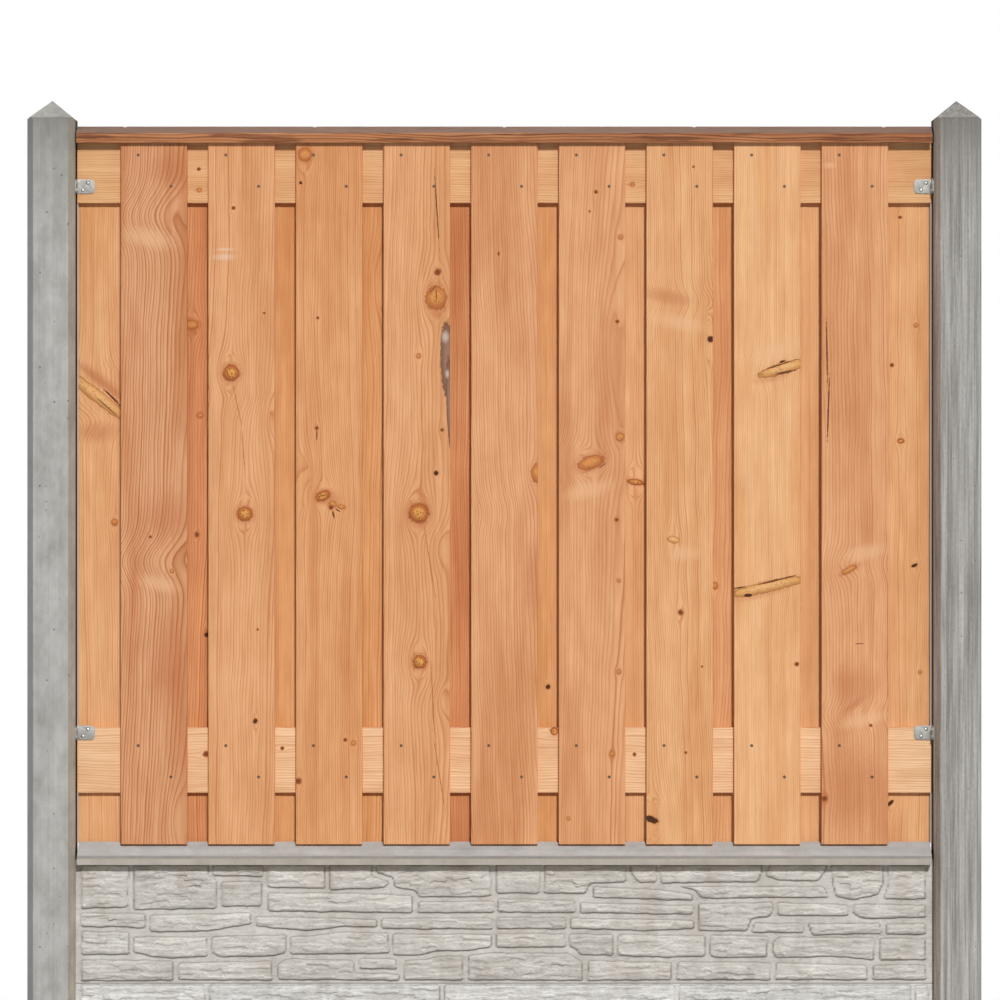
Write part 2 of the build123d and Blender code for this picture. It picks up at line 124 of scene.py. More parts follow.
def add_node(tree: Tree, kind: str, inputs: dict, out: int | str | None = 0, **settings) -> Socket | None:
    """Add a shader node with its settings and links.

    Args:
        tree: The material's node tree.
        kind: The node's type without its ShaderNode prefix.
        inputs: A value, or a socket to link, for each input by name or index.
        out: The output to return, or None for a node that has none.
        **settings: The node's own properties.

    Returns:
        One output socket of the new node.
    """
    node = tree.nodes.new("ShaderNode" + kind)
    for name, value in settings.items():
        setattr(node, name, value)
    for key, value in inputs.items():
        if isinstance(value, Socket):
            tree.links.new(value, node.inputs[key])
        else:
            node.inputs[key].default_value = value
    return None if out is None else node.outputs[out]


def fill_ramp(ramp: bpy.types.ColorRamp, stops: list[tuple[float, str]]) -> None:
    """Give a colour ramp its stops.

    Args:
        ramp: The ramp, with its two first stops.
        stops: Places from 0 to 1, each with a hex colour.
    """
    while len(ramp.elements) < len(stops):
        ramp.elements.new(0.5)
    for element, (place, colour) in zip(ramp.elements, stops):
        element.position = place
        element.color = linear(colour)


@dataclass(frozen=True)
class Finish:
    """What every finish shares: a name, how rough it is, whether it is a metal, and its gloss."""

    name: str
    roughness: float = 0.6
    metallic: float = 0.0
    shine: float = 0.3

    def material(self) -> bpy.types.Material:
        """Make the finished material.

        Returns:
            The material.
        """
        material = bpy.data.materials.new(self.name)
        material.use_nodes = True
        tree = material.node_tree
        tree.nodes.clear()
        values = {"Roughness": self.roughness, "Metallic": self.metallic, "Specular IOR Level": self.shine}
        surface = add_node(tree, "BsdfPrincipled", values)
        add_node(tree, "OutputMaterial", {"Surface": surface}, out=None)
        self.dress(tree, surface.node)
        return material

    def dress(self, tree: Tree, shader: bpy.types.ShaderNode) -> None:
        """Add the finish's own pattern.

        Args:
            tree: The material's node tree.
            shader: Its shader.
        """
        raise NotImplementedError

    def millimetres(self, tree: Tree, corner: tuple = (0, 0, 0)) -> Socket:
        """Turn the place on the piece into millimetres.

        Args:
            tree: The material's node tree.
            corner: Where to start, in metres.

        Returns:
            The place in millimetres from the corner.
        """
        place = add_node(tree, "TexCoord", {}, out="Object")
        values = {"Vector": place, "Location": corner, "Scale": (MM, MM, MM)}
        return add_node(tree, "Mapping", values, vector_type="TEXTURE")

    def sized(self, tree: Tree, vector: Socket, cell: tuple, shift: float = 0) -> Socket:
        """Return a place in cells of a real size in millimetres, moved by a shift."""
        values = {"Vector": vector, "Location": (shift,) * 3, "Scale": [1 / size for size in cell]}
        return add_node(tree, "Mapping", values)

    def stretched_noise(
        self, tree: Tree, vector: Socket, cell: tuple, detail: float = 2, shift: float = 0
    ) -> Socket:
        """Add a noise whose cells have a real size.

        Args:
            tree: The material's node tree.
            vector: The place in millimetres.
            cell: The cell's size along each axis in millimetres.
            detail: How many finer layers it has.
            shift: Moves the pattern, so that like pieces differ.

        Returns:
            The noise, from 0 to 1 around 0.5.
        """
        place = self.sized(tree, vector, cell, shift)
        return add_node(tree, "TexNoise", {"Vector": place, "Scale": 1, "Detail": detail})

    def shaded(self, tree: Tree, colour: Socket | tuple, levels: list[Socket]) -> Socket:
        """Return a colour with its red, green and blue each taken to a level of brightness."""
        factors = add_node(tree, "CombineXYZ", dict(enumerate(levels)))
        return add_node(tree, "Mix", {0: 1.0, 6: colour, 7: factors}, **TINT)


class Tone(Enum):
    """Hearts of Douglas fir: earlywood, latewood and the shade that drifts through a board."""

    BRICK = ("#dea479", "#b0632f", "#c27849")
    SALMON = ("#e5a976", "#be6c3c", "#cf8955")
    PALE = ("#e6ac7c", "#be6c3c", "#d49562")
    ROSY = ("#e5aa7b", "#bc6c40", "#cb8757")
    HONEY = ("#efba89", "#cc8246", "#e2a66e")
    AMBER = ("#e5a972", "#c3783f", "#d08a51")
    APRICOT = ("#ebb482", "#c8804c", "#da9b66")
    RUSSET = ("#e29e6a", "#b06234", "#c27449")
    STRAW = ("#f4ca9f", "#d0905c", "#e6b488")
    # Straw darkened all over for the top rail: painted shade for the cap's shadow over it
    WHEAT = ("#e9b988", "#c88852", "#dba170")
    CAP = ("#c08256", "#6e3a22", "#6c3a24")


@dataclass(frozen=True)
class MarkLook:
    """How a kind of mark looks.

    It has a core, a rim and an edge colour, a share of bend in the grain round it, dark specks in
    its heart, pale wood round it, a frayed edge, and a collar of tight rings. A mark with a veil
    has no edge: its core colour only tints the wood, by that share.
    """

    core: str = "#000000"
    rim: str = "#000000"
    edge: str = "#000000"
    bend: float = 1.0
    specks: float = 0.0
    halo: float = 0.0
    fray: float = 0.1
    collar: float = 0.0
    veil: float = 0.0


class Form(Enum):
    """Kinds of mark in the wood: knots, splits and the painted shadow in the screws' bores, then veils,
    and a bend with no mark.
    """

    SOUND = MarkLook("#e8a656", "#c06c36", "#8a4522", 1.25, 0.9, 0.4, 0.14, 0.85)
    YOLK = MarkLook("#df9a56", "#cb7d44", "#a0582c", 1.1, 0.4, 0.3, 0.16, 0.6)
    PIN = MarkLook("#6f3a1e", "#9a5530", "#ac6434", 1.2, 0.0, 0.3, 0.25, 0.5)
    BLACK = MarkLook("#2c160b", "#3c2011", "#9a5c2e", 1.2, 0.0, 0.3, 0.22, 0.6)
    SPIKE = MarkLook("#f2ba7c", "#e4a864", "#9c6030", 0.6, 0.3, 0.2, 0.16, 0.0)
    BARK = MarkLook("#a07a66", "#8a6452", "#6a4632", 0.5, 0.0, 0.0, 0.1, 0.0)
    SPLIT = MarkLook("#5d3420", "#703c22", "#8f5229", 0.0, 0.0, 0.0, 0.3, 0.0)
    RESIN = MarkLook("#b46a3c", "#b8703f", "#bd7643", 0.0, 0.0, 0.0, 0.4, 0.0)
    # Painted shadow in a screw's countersink
    BORE = MarkLook("#33231a", "#4a3020", "#8a5a38", 0.0, 0.0, 0.0, 0.05, 0.0)
    FIGURE = MarkLook("#ecba8e", veil=0.55)
    FLUSH = MarkLook("#bb6c42", veil=0.42)
    CHALK = MarkLook("#efe0d0", veil=0.32)
    FROST = MarkLook("#eee0d1", veil=0.5)
    BEND = MarkLook()


@dataclass(frozen=True)
class Mark:
    """A knot or other mark: its place from the board's lower left corner, in millimetres.

    The grain parts round it over its reach, or sweeps aside by so many millimetres. A mark that
    is longer than wide leans to the left at its top when its tilt, in degrees, is above zero.
    """

    across: float
    along: float
    radius: float
    form: Form = Form.PIN
    stretch: float = 1.0
    tilt: float = 0.0
    reach: float = 1.7
    pull: float = 1.0
    sweep: float = 0.0


@dataclass(frozen=True)
class Plank:
    """How one plank was sawn: heart, pith's place, ring width, how far the rings lean and wander."""

    tone: Tone
    pith: tuple[float, float] = (-420, 60)
    ring: float = 5.0
    lean: float = 0.01
    wander: float = 8.0
    contrast: float = 1.0
    marks: tuple[Mark, ...] = ()


@dataclass(frozen=True)
class Drift:
    """A drift in the wood's brightness: cells in millimetres, finer layers, a shift, and levels."""

    cell: tuple[float, float, float]
    detail: int
    shift: float
    spread: float
    dark: float
    light: float


# Fibres are finer than a pixel, so they are drawn as coarse as they need to be to show
FIBRE = Drift((0.9, 0.9, 45), 2, 0, 0.25, 0.93, 1.07)
CLOUD = Drift((30, 30, 85), 3, 5, 0.2, 0.93, 1.05)
FLAME = Drift((6, 6, 150), 3, 9, 0.2, 0.94, 1.06)


@dataclass(frozen=True)
class DouglasFir(Finish):
    """Planed Douglas fir: dull, with a fine ribbed bump where the plane rode over hard latewood.

    Growth rings are cones round a pith outside the plank, so its face shows stripes where it is
    quarter sawn and arches where it is flat sawn; knots part the stripes like stones in a stream.
    """

    plank: Plank = field(default_factory=lambda: Plank(Tone.SALMON))
    corner: tuple[float, float, float] = (0, 0, 0)
    lengthwise_x: bool = False
    weathered: bool = False
    seed: int = 0
    wander_mm: tuple[float, float, float] = (110, 110, 330)
    band_mm: tuple[float, float, float] = (55, 55, 600)
    fray_mm: float = 7
    speck_mm: float = 3.4
    collar_mm: float = 2.6
    branch_fibre_mm: float = 2.2
    plane_marks: float = 0.25 * MM
    warmth: tuple[float, float, float] = (0.75, 1.25, 1.75)

    def dress(self, tree: Tree, shader: bpy.types.ShaderNode) -> None:
        """Add rings, fibres, knots and weather.

        Args:
            tree: The material's node tree.
            shader: Its shader.
        """
        plank = self.plank
        parts = add_node(tree, "SeparateXYZ", {0: self.millimetres(tree, self.corner)}).node.outputs
        across, depth, along = (parts[2], parts[1], parts[0]) if self.lengthwise_x else parts
        grain = add_node(tree, "CombineXYZ", {0: across, 1: depth, 2: along})
        face = add_node(tree, "CombineXYZ", {0: across, 2: along})
        shift = self.seed * 7.31

        wander = self.stretched_noise(tree, grain, self.wander_mm, 3, shift)
        sway = {0: wander, 1: 0.0, 2: 1.0, 3: -plank.wander, 4: plank.wander}
        offset = add_node(tree, "MapRange", sway, clamp=False)
        bent = add_node(tree, "Math", {0: across, 1: offset}, operation="ADD")
        for mark in plank.marks:
            bent = self.part_the_grain(tree, mark, face, across, bent)
        late = self.rings(tree, bent, depth, along, shift)

        early_colour, late_colour, drift_colour = (linear(c) for c in plank.tone.value)
        band = self.stretched_noise(tree, grain, self.band_mm, 2, shift + 3)
        share = add_node(tree, "MapRange", {0: band, 1: 0.4, 2: 0.7, 3: 0.0, 4: 0.65}, **SMOOTH)
        ground = add_node(tree, "Mix", {0: share, 6: early_colour, 7: drift_colour}, **BLEND)
        colour = add_node(tree, "Mix", {0: late, 6: ground, 7: late_colour}, **BLEND)

        level, drifts = 1.0, []
        for drift in (FIBRE, CLOUD, FLAME):
            cells = self.stretched_noise(tree, grain, drift.cell, drift.detail, shift + drift.shift)
            low, high = 0.5 - drift.spread, 0.5 + drift.spread
            values = {0: cells, 1: low, 2: high, 3: drift.dark, 4: drift.light}
            step = add_node(tree, "MapRange", values, clamp=False)
            level = add_node(tree, "Math", {0: level, 1: step}, operation="MULTIPLY")
            drifts.append(cells)
        warm = [add_node(tree, "Math", {0: level, 1: power}, operation="POWER") for power in self.warmth]
        colour = self.shaded(tree, colour, warm)
        colour = self.paint_marks(tree, grain, face, drifts[0], colour, shift)
        if self.weathered:
            colour = self.weather(tree, grain, colour, shift)
        tree.links.new(colour, shader.inputs["Base Color"])

        height = add_node(tree, "Math", {0: late, 1: 0.5, 2: drifts[0]}, operation="MULTIPLY_ADD")
        bump = add_node(tree, "Bump", {"Height": height, "Distance": self.plane_marks, "Strength": 0.25})
        tree.links.new(bump, shader.inputs["Normal"])

    def ellipse(
        self, tree: Tree, mark: Mark, face: Socket, wide: float, long: float, tilt: float = 0.0
    ) -> Socket:
        """Measure a place on the face in an ellipse round a mark.

        Args:
            tree: The material's node tree.
            mark: The mark.
            face: The place on the plank's face.
            wide: Half the ellipse's width in the mark's radii.
            long: Half its length in the mark's radii.
            tilt: How far it leans, in degrees.

        Returns:
            The place, 1 long at the ellipse's edge.
        """
        values = {
            "Vector": face,
            "Location": (mark.across, 0, mark.along),
            "Rotation": (0, -math.radians(tilt), 0),
            "Scale": (mark.radius * wide, 1, mark.radius * long),
        }
        return add_node(tree, "Mapping", values, vector_type="TEXTURE")

    def part_the_grain(self, tree: Tree, mark: Mark, face: Socket, across: Socket, bent: Socket) -> Socket:
        """Lead the rings round a mark, as a stream runs round a stone, or sweep them aside.

        Args:
            tree: The material's node tree.
            mark: The mark.
            face: The place on the plank's face.
            across: The place across the grain.
            bent: The place across, as earlier marks have bent it.

        Returns:
            The place across, bent by this mark too.
        """
        if mark.sweep:
            near = self.ellipse(tree, mark, face, 1.3, mark.reach, mark.tilt)
            square = add_node(tree, "VectorMath", {0: near, 1: near}, out="Value", operation="DOT_PRODUCT")
            fall = add_node(tree, "Math", {0: square, 1: -1.0}, operation="MULTIPLY")
            hump = add_node(tree, "Math", {0: fall}, operation="EXPONENT")
            return add_node(tree, "Math", {0: hump, 1: mark.sweep, 2: bent}, operation="MULTIPLY_ADD")
        look = mark.form.value
        pull = look.bend * mark.pull
        if pull == 0 or look.veil:
            return bent
        near = self.ellipse(tree, mark, face, 1.15, mark.reach)
        square = add_node(tree, "VectorMath", {0: near, 1: near}, out="Value", operation="DOT_PRODUCT")
        far = add_node(tree, "Math", {0: square, 1: 1.0}, operation="MAXIMUM")
        side = add_node(tree, "Math", {0: across, 1: mark.across}, operation="SUBTRACT")
        share = add_node(tree, "Math", {0: side, 1: far}, operation="DIVIDE")
        return add_node(tree, "Math", {0: share, 1: -pull, 2: bent}, operation="MULTIPLY_ADD")

    def rings(self, tree: Tree, bent: Socket, depth: Socket, along: Socket, shift: float) -> Socket:
        """Add the growth rings.

        Args:
            tree: The material's node tree.
            bent: The place across the grain, bent round the knots.
            depth: The place behind the face.
            along: The place along the grain.
            shift: Moves the pattern.

        Returns:
            How much latewood there is, from 0 to 1.
        """
        plank = self.plank
        aside = add_node(tree, "Math", {0: bent, 1: plank.pith[0]}, operation="SUBTRACT")
        behind = add_node(tree, "Math", {0: depth, 1: plank.pith[1]}, operation="SUBTRACT")
        section = add_node(tree, "CombineXYZ", {0: aside, 1: behind})
        reach = add_node(tree, "VectorMath", {0: section}, out="Value", operation="LENGTH")
        cone = add_node(tree, "Math", {0: along, 1: plank.lean, 2: reach}, operation="MULTIPLY_ADD")
        good_years = {"W": cone, "Scale": 0.35 / plank.ring, "Detail": 2}
        years = add_node(tree, "TexNoise", good_years, noise_dimensions="1D")
        uneven = add_node(tree, "Math", {0: years, 1: 1.3 * plank.ring, 2: cone}, operation="MULTIPLY_ADD")
        age = add_node(tree, "Math", {0: uneven, 1: 1 / plank.ring, 2: shift}, operation="MULTIPLY_ADD")
        season = add_node(tree, "Math", {0: age}, operation="FRACT")
        curve = add_node(tree, "ValToRGB", {0: season})
        fill_ramp(curve.node.color_ramp, SEASONS)
        weak, strong = 0.35 * plank.contrast, 0.9 * plank.contrast
        force = add_node(tree, "MapRange", {0: years, 1: 0.3, 2: 0.7, 3: weak, 4: strong})
        return add_node(tree, "Math", {0: curve, 1: force}, operation="MULTIPLY")

    def paint_marks(
        self, tree: Tree, grain: Socket, face: Socket, fibre: Socket, colour: Socket, shift: float
    ) -> Socket:
        """Paint every mark: veils first, then frost, knots and splits in their order.

        Args:
            tree: The material's node tree.
            grain: The place in millimetres, with the grain along its third axis.
            face: The place on the plank's face.
            fibre: The fibres' noise, which frays the frost.
            colour: The wood's colour so far.
            shift: Moves the pattern.

        Returns:
            The colour with the marks.
        """
        ragged = self.stretched_noise(tree, grain, (self.fray_mm,) * 3, 3, shift + 7)
        speck = self.stretched_noise(tree, grain, (self.speck_mm,) * 3, 1, shift + 8)
        for mark in self.plank.marks:
            if mark.form.value.veil and mark.form is not Form.FROST:
                colour = self.tint_patch(tree, mark, face, ragged, colour)
        for mark in self.plank.marks:
            if mark.form is Form.FROST:
                colour = self.tint_patch(tree, mark, face, fibre, colour)
            elif mark.form is not Form.BEND and not mark.form.value.veil:
                colour = self.paint_mark(tree, mark, face, ragged, speck, colour)
        return colour

    def reach_of(
        self, tree: Tree, mark: Mark, face: Socket, ragged: Socket
    ) -> tuple[Socket, Socket, Socket]:
        """Measure how far a place is from a mark, in the mark's own radii.

        Args:
            tree: The material's node tree.
            mark: The mark.
            face: The place on the plank's face.
            ragged: A fine noise that frays the edge.

        Returns:
            The place in the mark's own ellipse, the distance, and the frayed distance.
        """
        near = self.ellipse(tree, mark, face, 1, mark.stretch, mark.tilt)
        plain = add_node(tree, "VectorMath", {0: near}, out="Value", operation="LENGTH")
        most = 2 * mark.form.value.fray
        fray = add_node(tree, "MapRange", {0: ragged, 1: 0, 2: 1, 3: -most, 4: most}, clamp=False)
        return near, plain, add_node(tree, "Math", {0: plain, 1: fray}, operation="ADD")

    def tint_patch(self, tree: Tree, mark: Mark, face: Socket, ragged: Socket, colour: Socket) -> Socket:
        """Tint a patch of the wood without an edge.

        Args:
            tree: The material's node tree.
            mark: The patch.
            face: The place on the plank's face.
            ragged: A fine noise that frays the patch.
            colour: The wood's colour so far.

        Returns:
            The colour with the patch.
        """
        look = mark.form.value
        reach = self.reach_of(tree, mark, face, ragged)[2]
        share = add_node(tree, "MapRange", {0: reach, 1: 0.2, 2: 1.25, 3: look.veil, 4: 0.0}, **SMOOTH)
        return add_node(tree, "Mix", {0: share, 6: colour, 7: linear(look.core)}, **BLEND)

    def paint_mark(
        self, tree: Tree, mark: Mark, face: Socket, ragged: Socket, speck: Socket, colour: Socket
    ) -> Socket:
        """Paint a mark's core, rim, specks and edge, and the wood close round it.

        Args:
            tree: The material's node tree.
            mark: The mark.
            face: The place on the plank's face.
            ragged: A fine noise that frays the edges.
            speck: A finer noise for the dark specks.
            colour: The wood's colour so far.

        Returns:
            The colour with the mark.
        """
        look = mark.form.value
        core, rim, edge = linear(look.core), linear(look.rim), linear(look.edge)
        dusky, near_tone = (linear(c) for c in self.plank.tone.value[1:])
        near, plain, reach = self.reach_of(tree, mark, face, ragged)
        circles = add_node(tree, "Math", {0: reach, 1: mark.radius / self.collar_mm}, operation="MULTIPLY")
        ripple = add_node(tree, "Math", {0: circles, 1: 1.0}, operation="PINGPONG")
        if look.halo:
            pale = add_node(tree, "MapRange", {0: plain, 1: 0.9, 2: 2.2, 3: look.halo, 4: 0.0}, **SMOOTH)
            colour = add_node(tree, "Mix", {0: pale, 6: colour, 7: near_tone}, **BLEND)
        if look.collar:
            wrap = add_node(tree, "MapRange", {0: reach, 1: 1.0, 2: 1.8, 3: look.collar, 4: 0.0}, **SMOOTH)
            tight = add_node(tree, "Math", {0: ripple, 1: wrap}, operation="MULTIPLY")
            colour = add_node(tree, "Mix", {0: tight, 6: colour, 7: dusky}, **BLEND)
        inside = add_node(tree, "MapRange", {0: reach, 1: 0.9, 2: 1.1, 3: 1.0, 4: 0.0}, **SMOOTH)
        outer = add_node(tree, "MapRange", {0: plain, 1: 0.35, 2: 0.85, 3: 0.0, 4: 1.0}, **SMOOTH)
        heart = add_node(tree, "Mix", {0: outer, 6: core, 7: rim}, **BLEND)
        if mark.form in (Form.SPIKE, Form.BARK):
            ripple = self.lengthwise_stripes(tree, mark, near, ragged)
        lines = add_node(tree, "Math", {0: ripple, 1: 0.22}, operation="MULTIPLY")
        heart = add_node(tree, "Mix", {0: lines, 6: heart, 7: edge}, **BLEND)
        if look.specks:
            low = add_node(tree, "SeparateXYZ", {0: near}).node.outputs[2]
            shade = add_node(tree, "MapRange", {0: low, 1: 0.1, 2: -0.9, 3: 0.0, 4: 0.55})
            heart = add_node(tree, "Mix", {0: shade, 6: heart, 7: edge}, **BLEND)
            dark = add_node(tree, "MapRange", {0: speck, 1: 0.58, 2: 0.66, 3: 0.0, 4: look.specks})
            central = add_node(tree, "MapRange", {0: plain, 1: 0.55, 2: 0.85, 3: 1.0, 4: 0.0})
            dots = add_node(tree, "Math", {0: dark, 1: central}, operation="MULTIPLY")
            heart = add_node(tree, "Mix", {0: dots, 6: heart, 7: linear("#5a3018")}, **BLEND)
        colour = add_node(tree, "Mix", {0: inside, 6: colour, 7: heart}, **BLEND)
        off = add_node(tree, "Math", {0: reach, 1: 1.0}, operation="SUBTRACT")
        gap = add_node(tree, "Math", {0: off}, operation="ABSOLUTE")
        outline = add_node(tree, "MapRange", {0: gap, 1: 0.0, 2: 0.15, 3: 0.8, 4: 0.0})
        return add_node(tree, "Mix", {0: outline, 6: colour, 7: edge}, **BLEND)

    def lengthwise_stripes(self, tree: Tree, mark: Mark, near: Socket, ragged: Socket) -> Socket:
        """Draw the fibres of a branch that was sawn lengthwise.

        Args:
            tree: The material's node tree.
            mark: The mark.
            near: The place in the mark's own ellipse.
            ragged: A fine noise that bends the fibres.

        Returns:
            The fibres, from 0 to 1.
        """
        short_axis = 2 if mark.stretch < 1 else 0
        thick = mark.radius * min(1.0, mark.stretch)
        rise = add_node(tree, "SeparateXYZ", {0: near}).node.outputs[short_axis]
        wavy = add_node(tree, "Math", {0: ragged, 1: 1.2, 2: rise}, operation="MULTIPLY_ADD")
        count = add_node(tree, "Math", {0: wavy, 1: thick / self.branch_fibre_mm}, operation="MULTIPLY")
        return add_node(tree, "Math", {0: count, 1: 1.0}, operation="PINGPONG")

    def weather(self, tree: Tree, grain: Socket, colour: Socket, shift: float) -> Socket:
        """Stain the wood in streaks, and grey it where it faces the sky.

        Args:
            tree: The material's node tree.
            grain: The place in millimetres, with the grain along its third axis.
            colour: The wood's colour so far.
            shift: Moves the pattern.

        Returns:
            The weathered colour.
        """
        normal = add_node(tree, "TexCoord", {}, out="Normal")
        upward = add_node(tree, "SeparateXYZ", {0: normal}).node.outputs[2]
        patch = self.stretched_noise(tree, grain, (9, 9, 120), 4, shift + 11)
        sky = add_node(tree, "MapRange", {0: upward, 1: 0.25, 2: 0.8, 3: 0.0, 4: 0.9}, **SMOOTH)
        grey = add_node(tree, "Mix", {0: patch, 6: linear("#62483a"), 7: linear("#96735d")}, **BLEND)
        stain = add_node(tree, "MapRange", {0: patch, 1: 0.46, 2: 0.64, 3: 0.0, 4: 0.75}, **SMOOTH)
        colour = add_node(tree, "Mix", {0: stain, 6: colour, 7: linear("#693a24")}, **BLEND)
        return add_node(tree, "Mix", {0: sky, 6: colour, 7: grey}, **BLEND)


@dataclass(frozen=True)
class CastConcrete(Finish):
    """Wet-cast concrete: a matt grey paste with streaks down the mould, sand, pinholes and grime."""

    paste: str = "#b0afab"
    dark: str = "#a09f99"
    light: str = "#bcbbb7"
    mottle_mm: tuple[float, float, float] = (42, 42, 70)
    streak_mm: tuple[float, float, float] = (5, 5, 340)
    stripe_mm: tuple[float, float, float] = (24, 24, 1200)
    streak: float = 0.5
    blotch_mm: tuple[float, float, float] = (13, 13, 26)
    blotch: float = 0.6
    sand_mm: tuple[float, float, float] = (2.2, 2.2, 2.2)
    pinhole_spacing_mm: tuple[float, float, float] = (15, 15, 15)
    pinholes: float = 1.0
    grime_above: float = 9.0
    relief_attributes: bool = False
    cleft: float = 0.6
    panel_side: int = 0
    # How much grey painted shade the faces away from the panel get
    outer_shade: float = 0.1
    eave: float = 0.0
    arris: float = 0.0

    def dress(self, tree: Tree, shader: bpy.types.ShaderNode) -> None:
        """Add mottling, streaks, sand, pinholes and grime.

        Args:
            tree: The material's node tree.
            shader: Its shader.
        """
        local = self.millimetres(tree)
        metres = add_node(tree, "SeparateXYZ", {0: add_node(tree, "TexCoord", {}, out="Object")})
        behind, above = metres.node.outputs[1:]
        mottle = self.stretched_noise(tree, local, self.mottle_mm, 5, 1)
        streaks = self.stretched_noise(tree, local, self.streak_mm, 3, 2)
        sand = self.stretched_noise(tree, local, self.sand_mm, 3, 3)
        colour = add_node(tree, "ValToRGB", {0: mottle})
        fill_ramp(colour.node.color_ramp, [(0.25, self.dark), (0.5, self.paste), (0.75, self.light)])
        level = self.streak_and_speckle(tree, local, streaks, sand)
        if self.relief_attributes:
            level = self.draw_clefts(tree, local, self.shade_relief(tree, level))
        if self.eave:
            level = self.lighten_head_darken_eave(tree, above, level)
        if self.arris:
            level = self.stain_arris(tree, above, mottle, level)
        colour = self.shaded(tree, colour, [level] * 3)
        # Painted shade along the stones' joints, darkest under each stone
        if self.relief_attributes:
            joint = add_node(tree, "Attribute", {}, out="Fac", attribute_name="joint")
            seam_shade = add_node(tree, "Math", {0: joint, 1: 0.95}, operation="MULTIPLY")
            colour = add_node(tree, "Mix", {0: seam_shade, 6: colour, 7: linear("#4b3e34")}, **BLEND)
        if self.arris:
            slope = {0: above, 1: self.arris + MM, 2: self.arris - 2 * MM, 3: 0.0, 4: 1.0}
            under = add_node(tree, "MapRange", slope)
            colour = add_node(tree, "Mix", {0: under, 6: colour, 7: linear("#ece2d6")}, **TINT)
        holes = {"Vector": self.sized(tree, local, self.pinhole_spacing_mm), "Scale": 1}
        cells = add_node(tree, "TexVoronoi", holes).node
        size = add_node(tree, "SeparateColor", {0: cells.outputs["Color"]})
        largest = add_node(tree, "MapRange", {0: size, 1: 0.5, 2: 1.0, 3: 0.0, 4: 0.11 * self.pinholes})
        pit = add_node(tree, "Math", {0: cells.outputs["Distance"], 1: largest}, operation="LESS_THAN")
        shadow = add_node(tree, "Math", {0: pit, 1: 0.6}, operation="MULTIPLY")
        colour = add_node(tree, "Mix", {0: shadow, 6: colour, 7: linear("#4c4a47")}, **BLEND)
        # Painted shade and bounced light on the posts' sides
        if self.panel_side:
            colour = self.paint_side_shade(tree, behind, colour)
        foot = {0: above, 1: self.grime_above - 0.25, 2: self.grime_above, 3: 0.0, 4: 1.0}
        rise = add_node(tree, "MapRange", foot)
        wet = add_node(tree, "MapRange", {0: mottle, 1: 0.4, 2: 0.62, 3: 0.15, 4: 0.75})
        grime = add_node(tree, "Math", {0: rise, 1: wet}, operation="MULTIPLY")
        colour = add_node(tree, "Mix", {0: grime, 6: colour, 7: linear("#77746b")}, **BLEND)
        tree.links.new(colour, shader.inputs["Base Color"])

        sunk = add_node(tree, "Math", {0: pit, 1: -1.5, 2: sand}, operation="MULTIPLY_ADD")
        rough = add_node(tree, "Math", {0: streaks, 1: self.cleft, 2: sunk}, operation="MULTIPLY_ADD")
        bump = add_node(tree, "Bump", {"Height": rough, "Distance": 0.5 * MM, "Strength": 0.7})
        tree.links.new(bump, shader.inputs["Normal"])

    def streak_and_speckle(self, tree: Tree, local: Socket, streaks: Socket, sand: Socket) -> Socket:
        """Work out the paste's own brightness from its streaks, stripes, sand and blotches.

        Args:
            tree: The material's node tree.
            local: The place in millimetres.
            streaks: The streaks' noise.
            sand: The sand's noise.

        Returns:
            The brightness.
        """
        blotch = self.stretched_noise(tree, local, self.blotch_mm, 6, 6)
        stripes = self.stretched_noise(tree, local, self.stripe_mm, 1, 4)
        both = add_node(tree, "Math", {0: streaks, 1: stripes}, operation="ADD")
        line, spread = 0.24 * self.streak, 0.14 * self.blotch
        lines = add_node(tree, "MapRange", {0: both, 1: 0.7, 2: 1.3, 3: 1 - line, 4: 1 + line})
        grains = add_node(tree, "MapRange", {0: sand, 1: 0.25, 2: 0.75, 3: 0.93, 4: 1.07})
        patches = add_node(tree, "MapRange", {0: blotch, 1: 0.3, 2: 0.7, 3: 1 - spread, 4: 1 + spread})
        level = add_node(tree, "Math", {0: lines, 1: grains}, operation="MULTIPLY")
        return add_node(tree, "Math", {0: level, 1: patches}, operation="MULTIPLY")

    def lighten_head_darken_eave(self, tree: Tree, above: Socket, level: Socket) -> Socket:
        """Darken the shaft towards the eave of its pointed head, and make the head above the eave paler.

        Args:
            tree: The material's node tree.
            above: The height in metres.
            level: The brightness so far.

        Returns:
            The new brightness.
        """
        run = add_node(tree, "MapRange", {0: above, 1: self.eave - 0.08, 2: self.eave, 3: 1.0, 4: 0.8})
        below = add_node(tree, "Math", {0: above, 1: self.eave + 0.004}, operation="LESS_THAN")
        head_and_eave = add_node(tree, "Mix", {0: below, 2: 1.3, 3: run}, data_type="FLOAT")
        return add_node(tree, "Math", {0: level, 1: head_and_eave}, operation="MULTIPLY")

    def stain_arris(self, tree: Tree, above: Socket, mottle: Socket, level: Socket) -> Socket:
        """Darken the arris between the slope and the upright edge, where dirt gathers.

        Args:
            tree: The material's node tree.
            above: The height in metres.
            mottle: A noise that breaks up the dirt.
            level: The brightness so far.

        Returns:
            The new brightness.
        """
        off = add_node(tree, "Math", {0: above, 1: self.arris}, operation="SUBTRACT")
        gap = add_node(tree, "Math", {0: off}, operation="ABSOLUTE")
        dirt = add_node(tree, "MapRange", {0: gap, 1: 1.5 * MM, 2: 4 * MM, 3: 0.58, 4: 1.0})
        broken = add_node(tree, "MapRange", {0: mottle, 1: 0.35, 2: 0.6, 3: 0.15, 4: 0.0})
        both = add_node(tree, "Math", {0: dirt, 1: broken}, operation="ADD")
        edge = add_node(tree, "Math", {0: both, 1: 1.0}, operation="MINIMUM")
        return add_node(tree, "Math", {0: level, 1: edge}, operation="MULTIPLY")

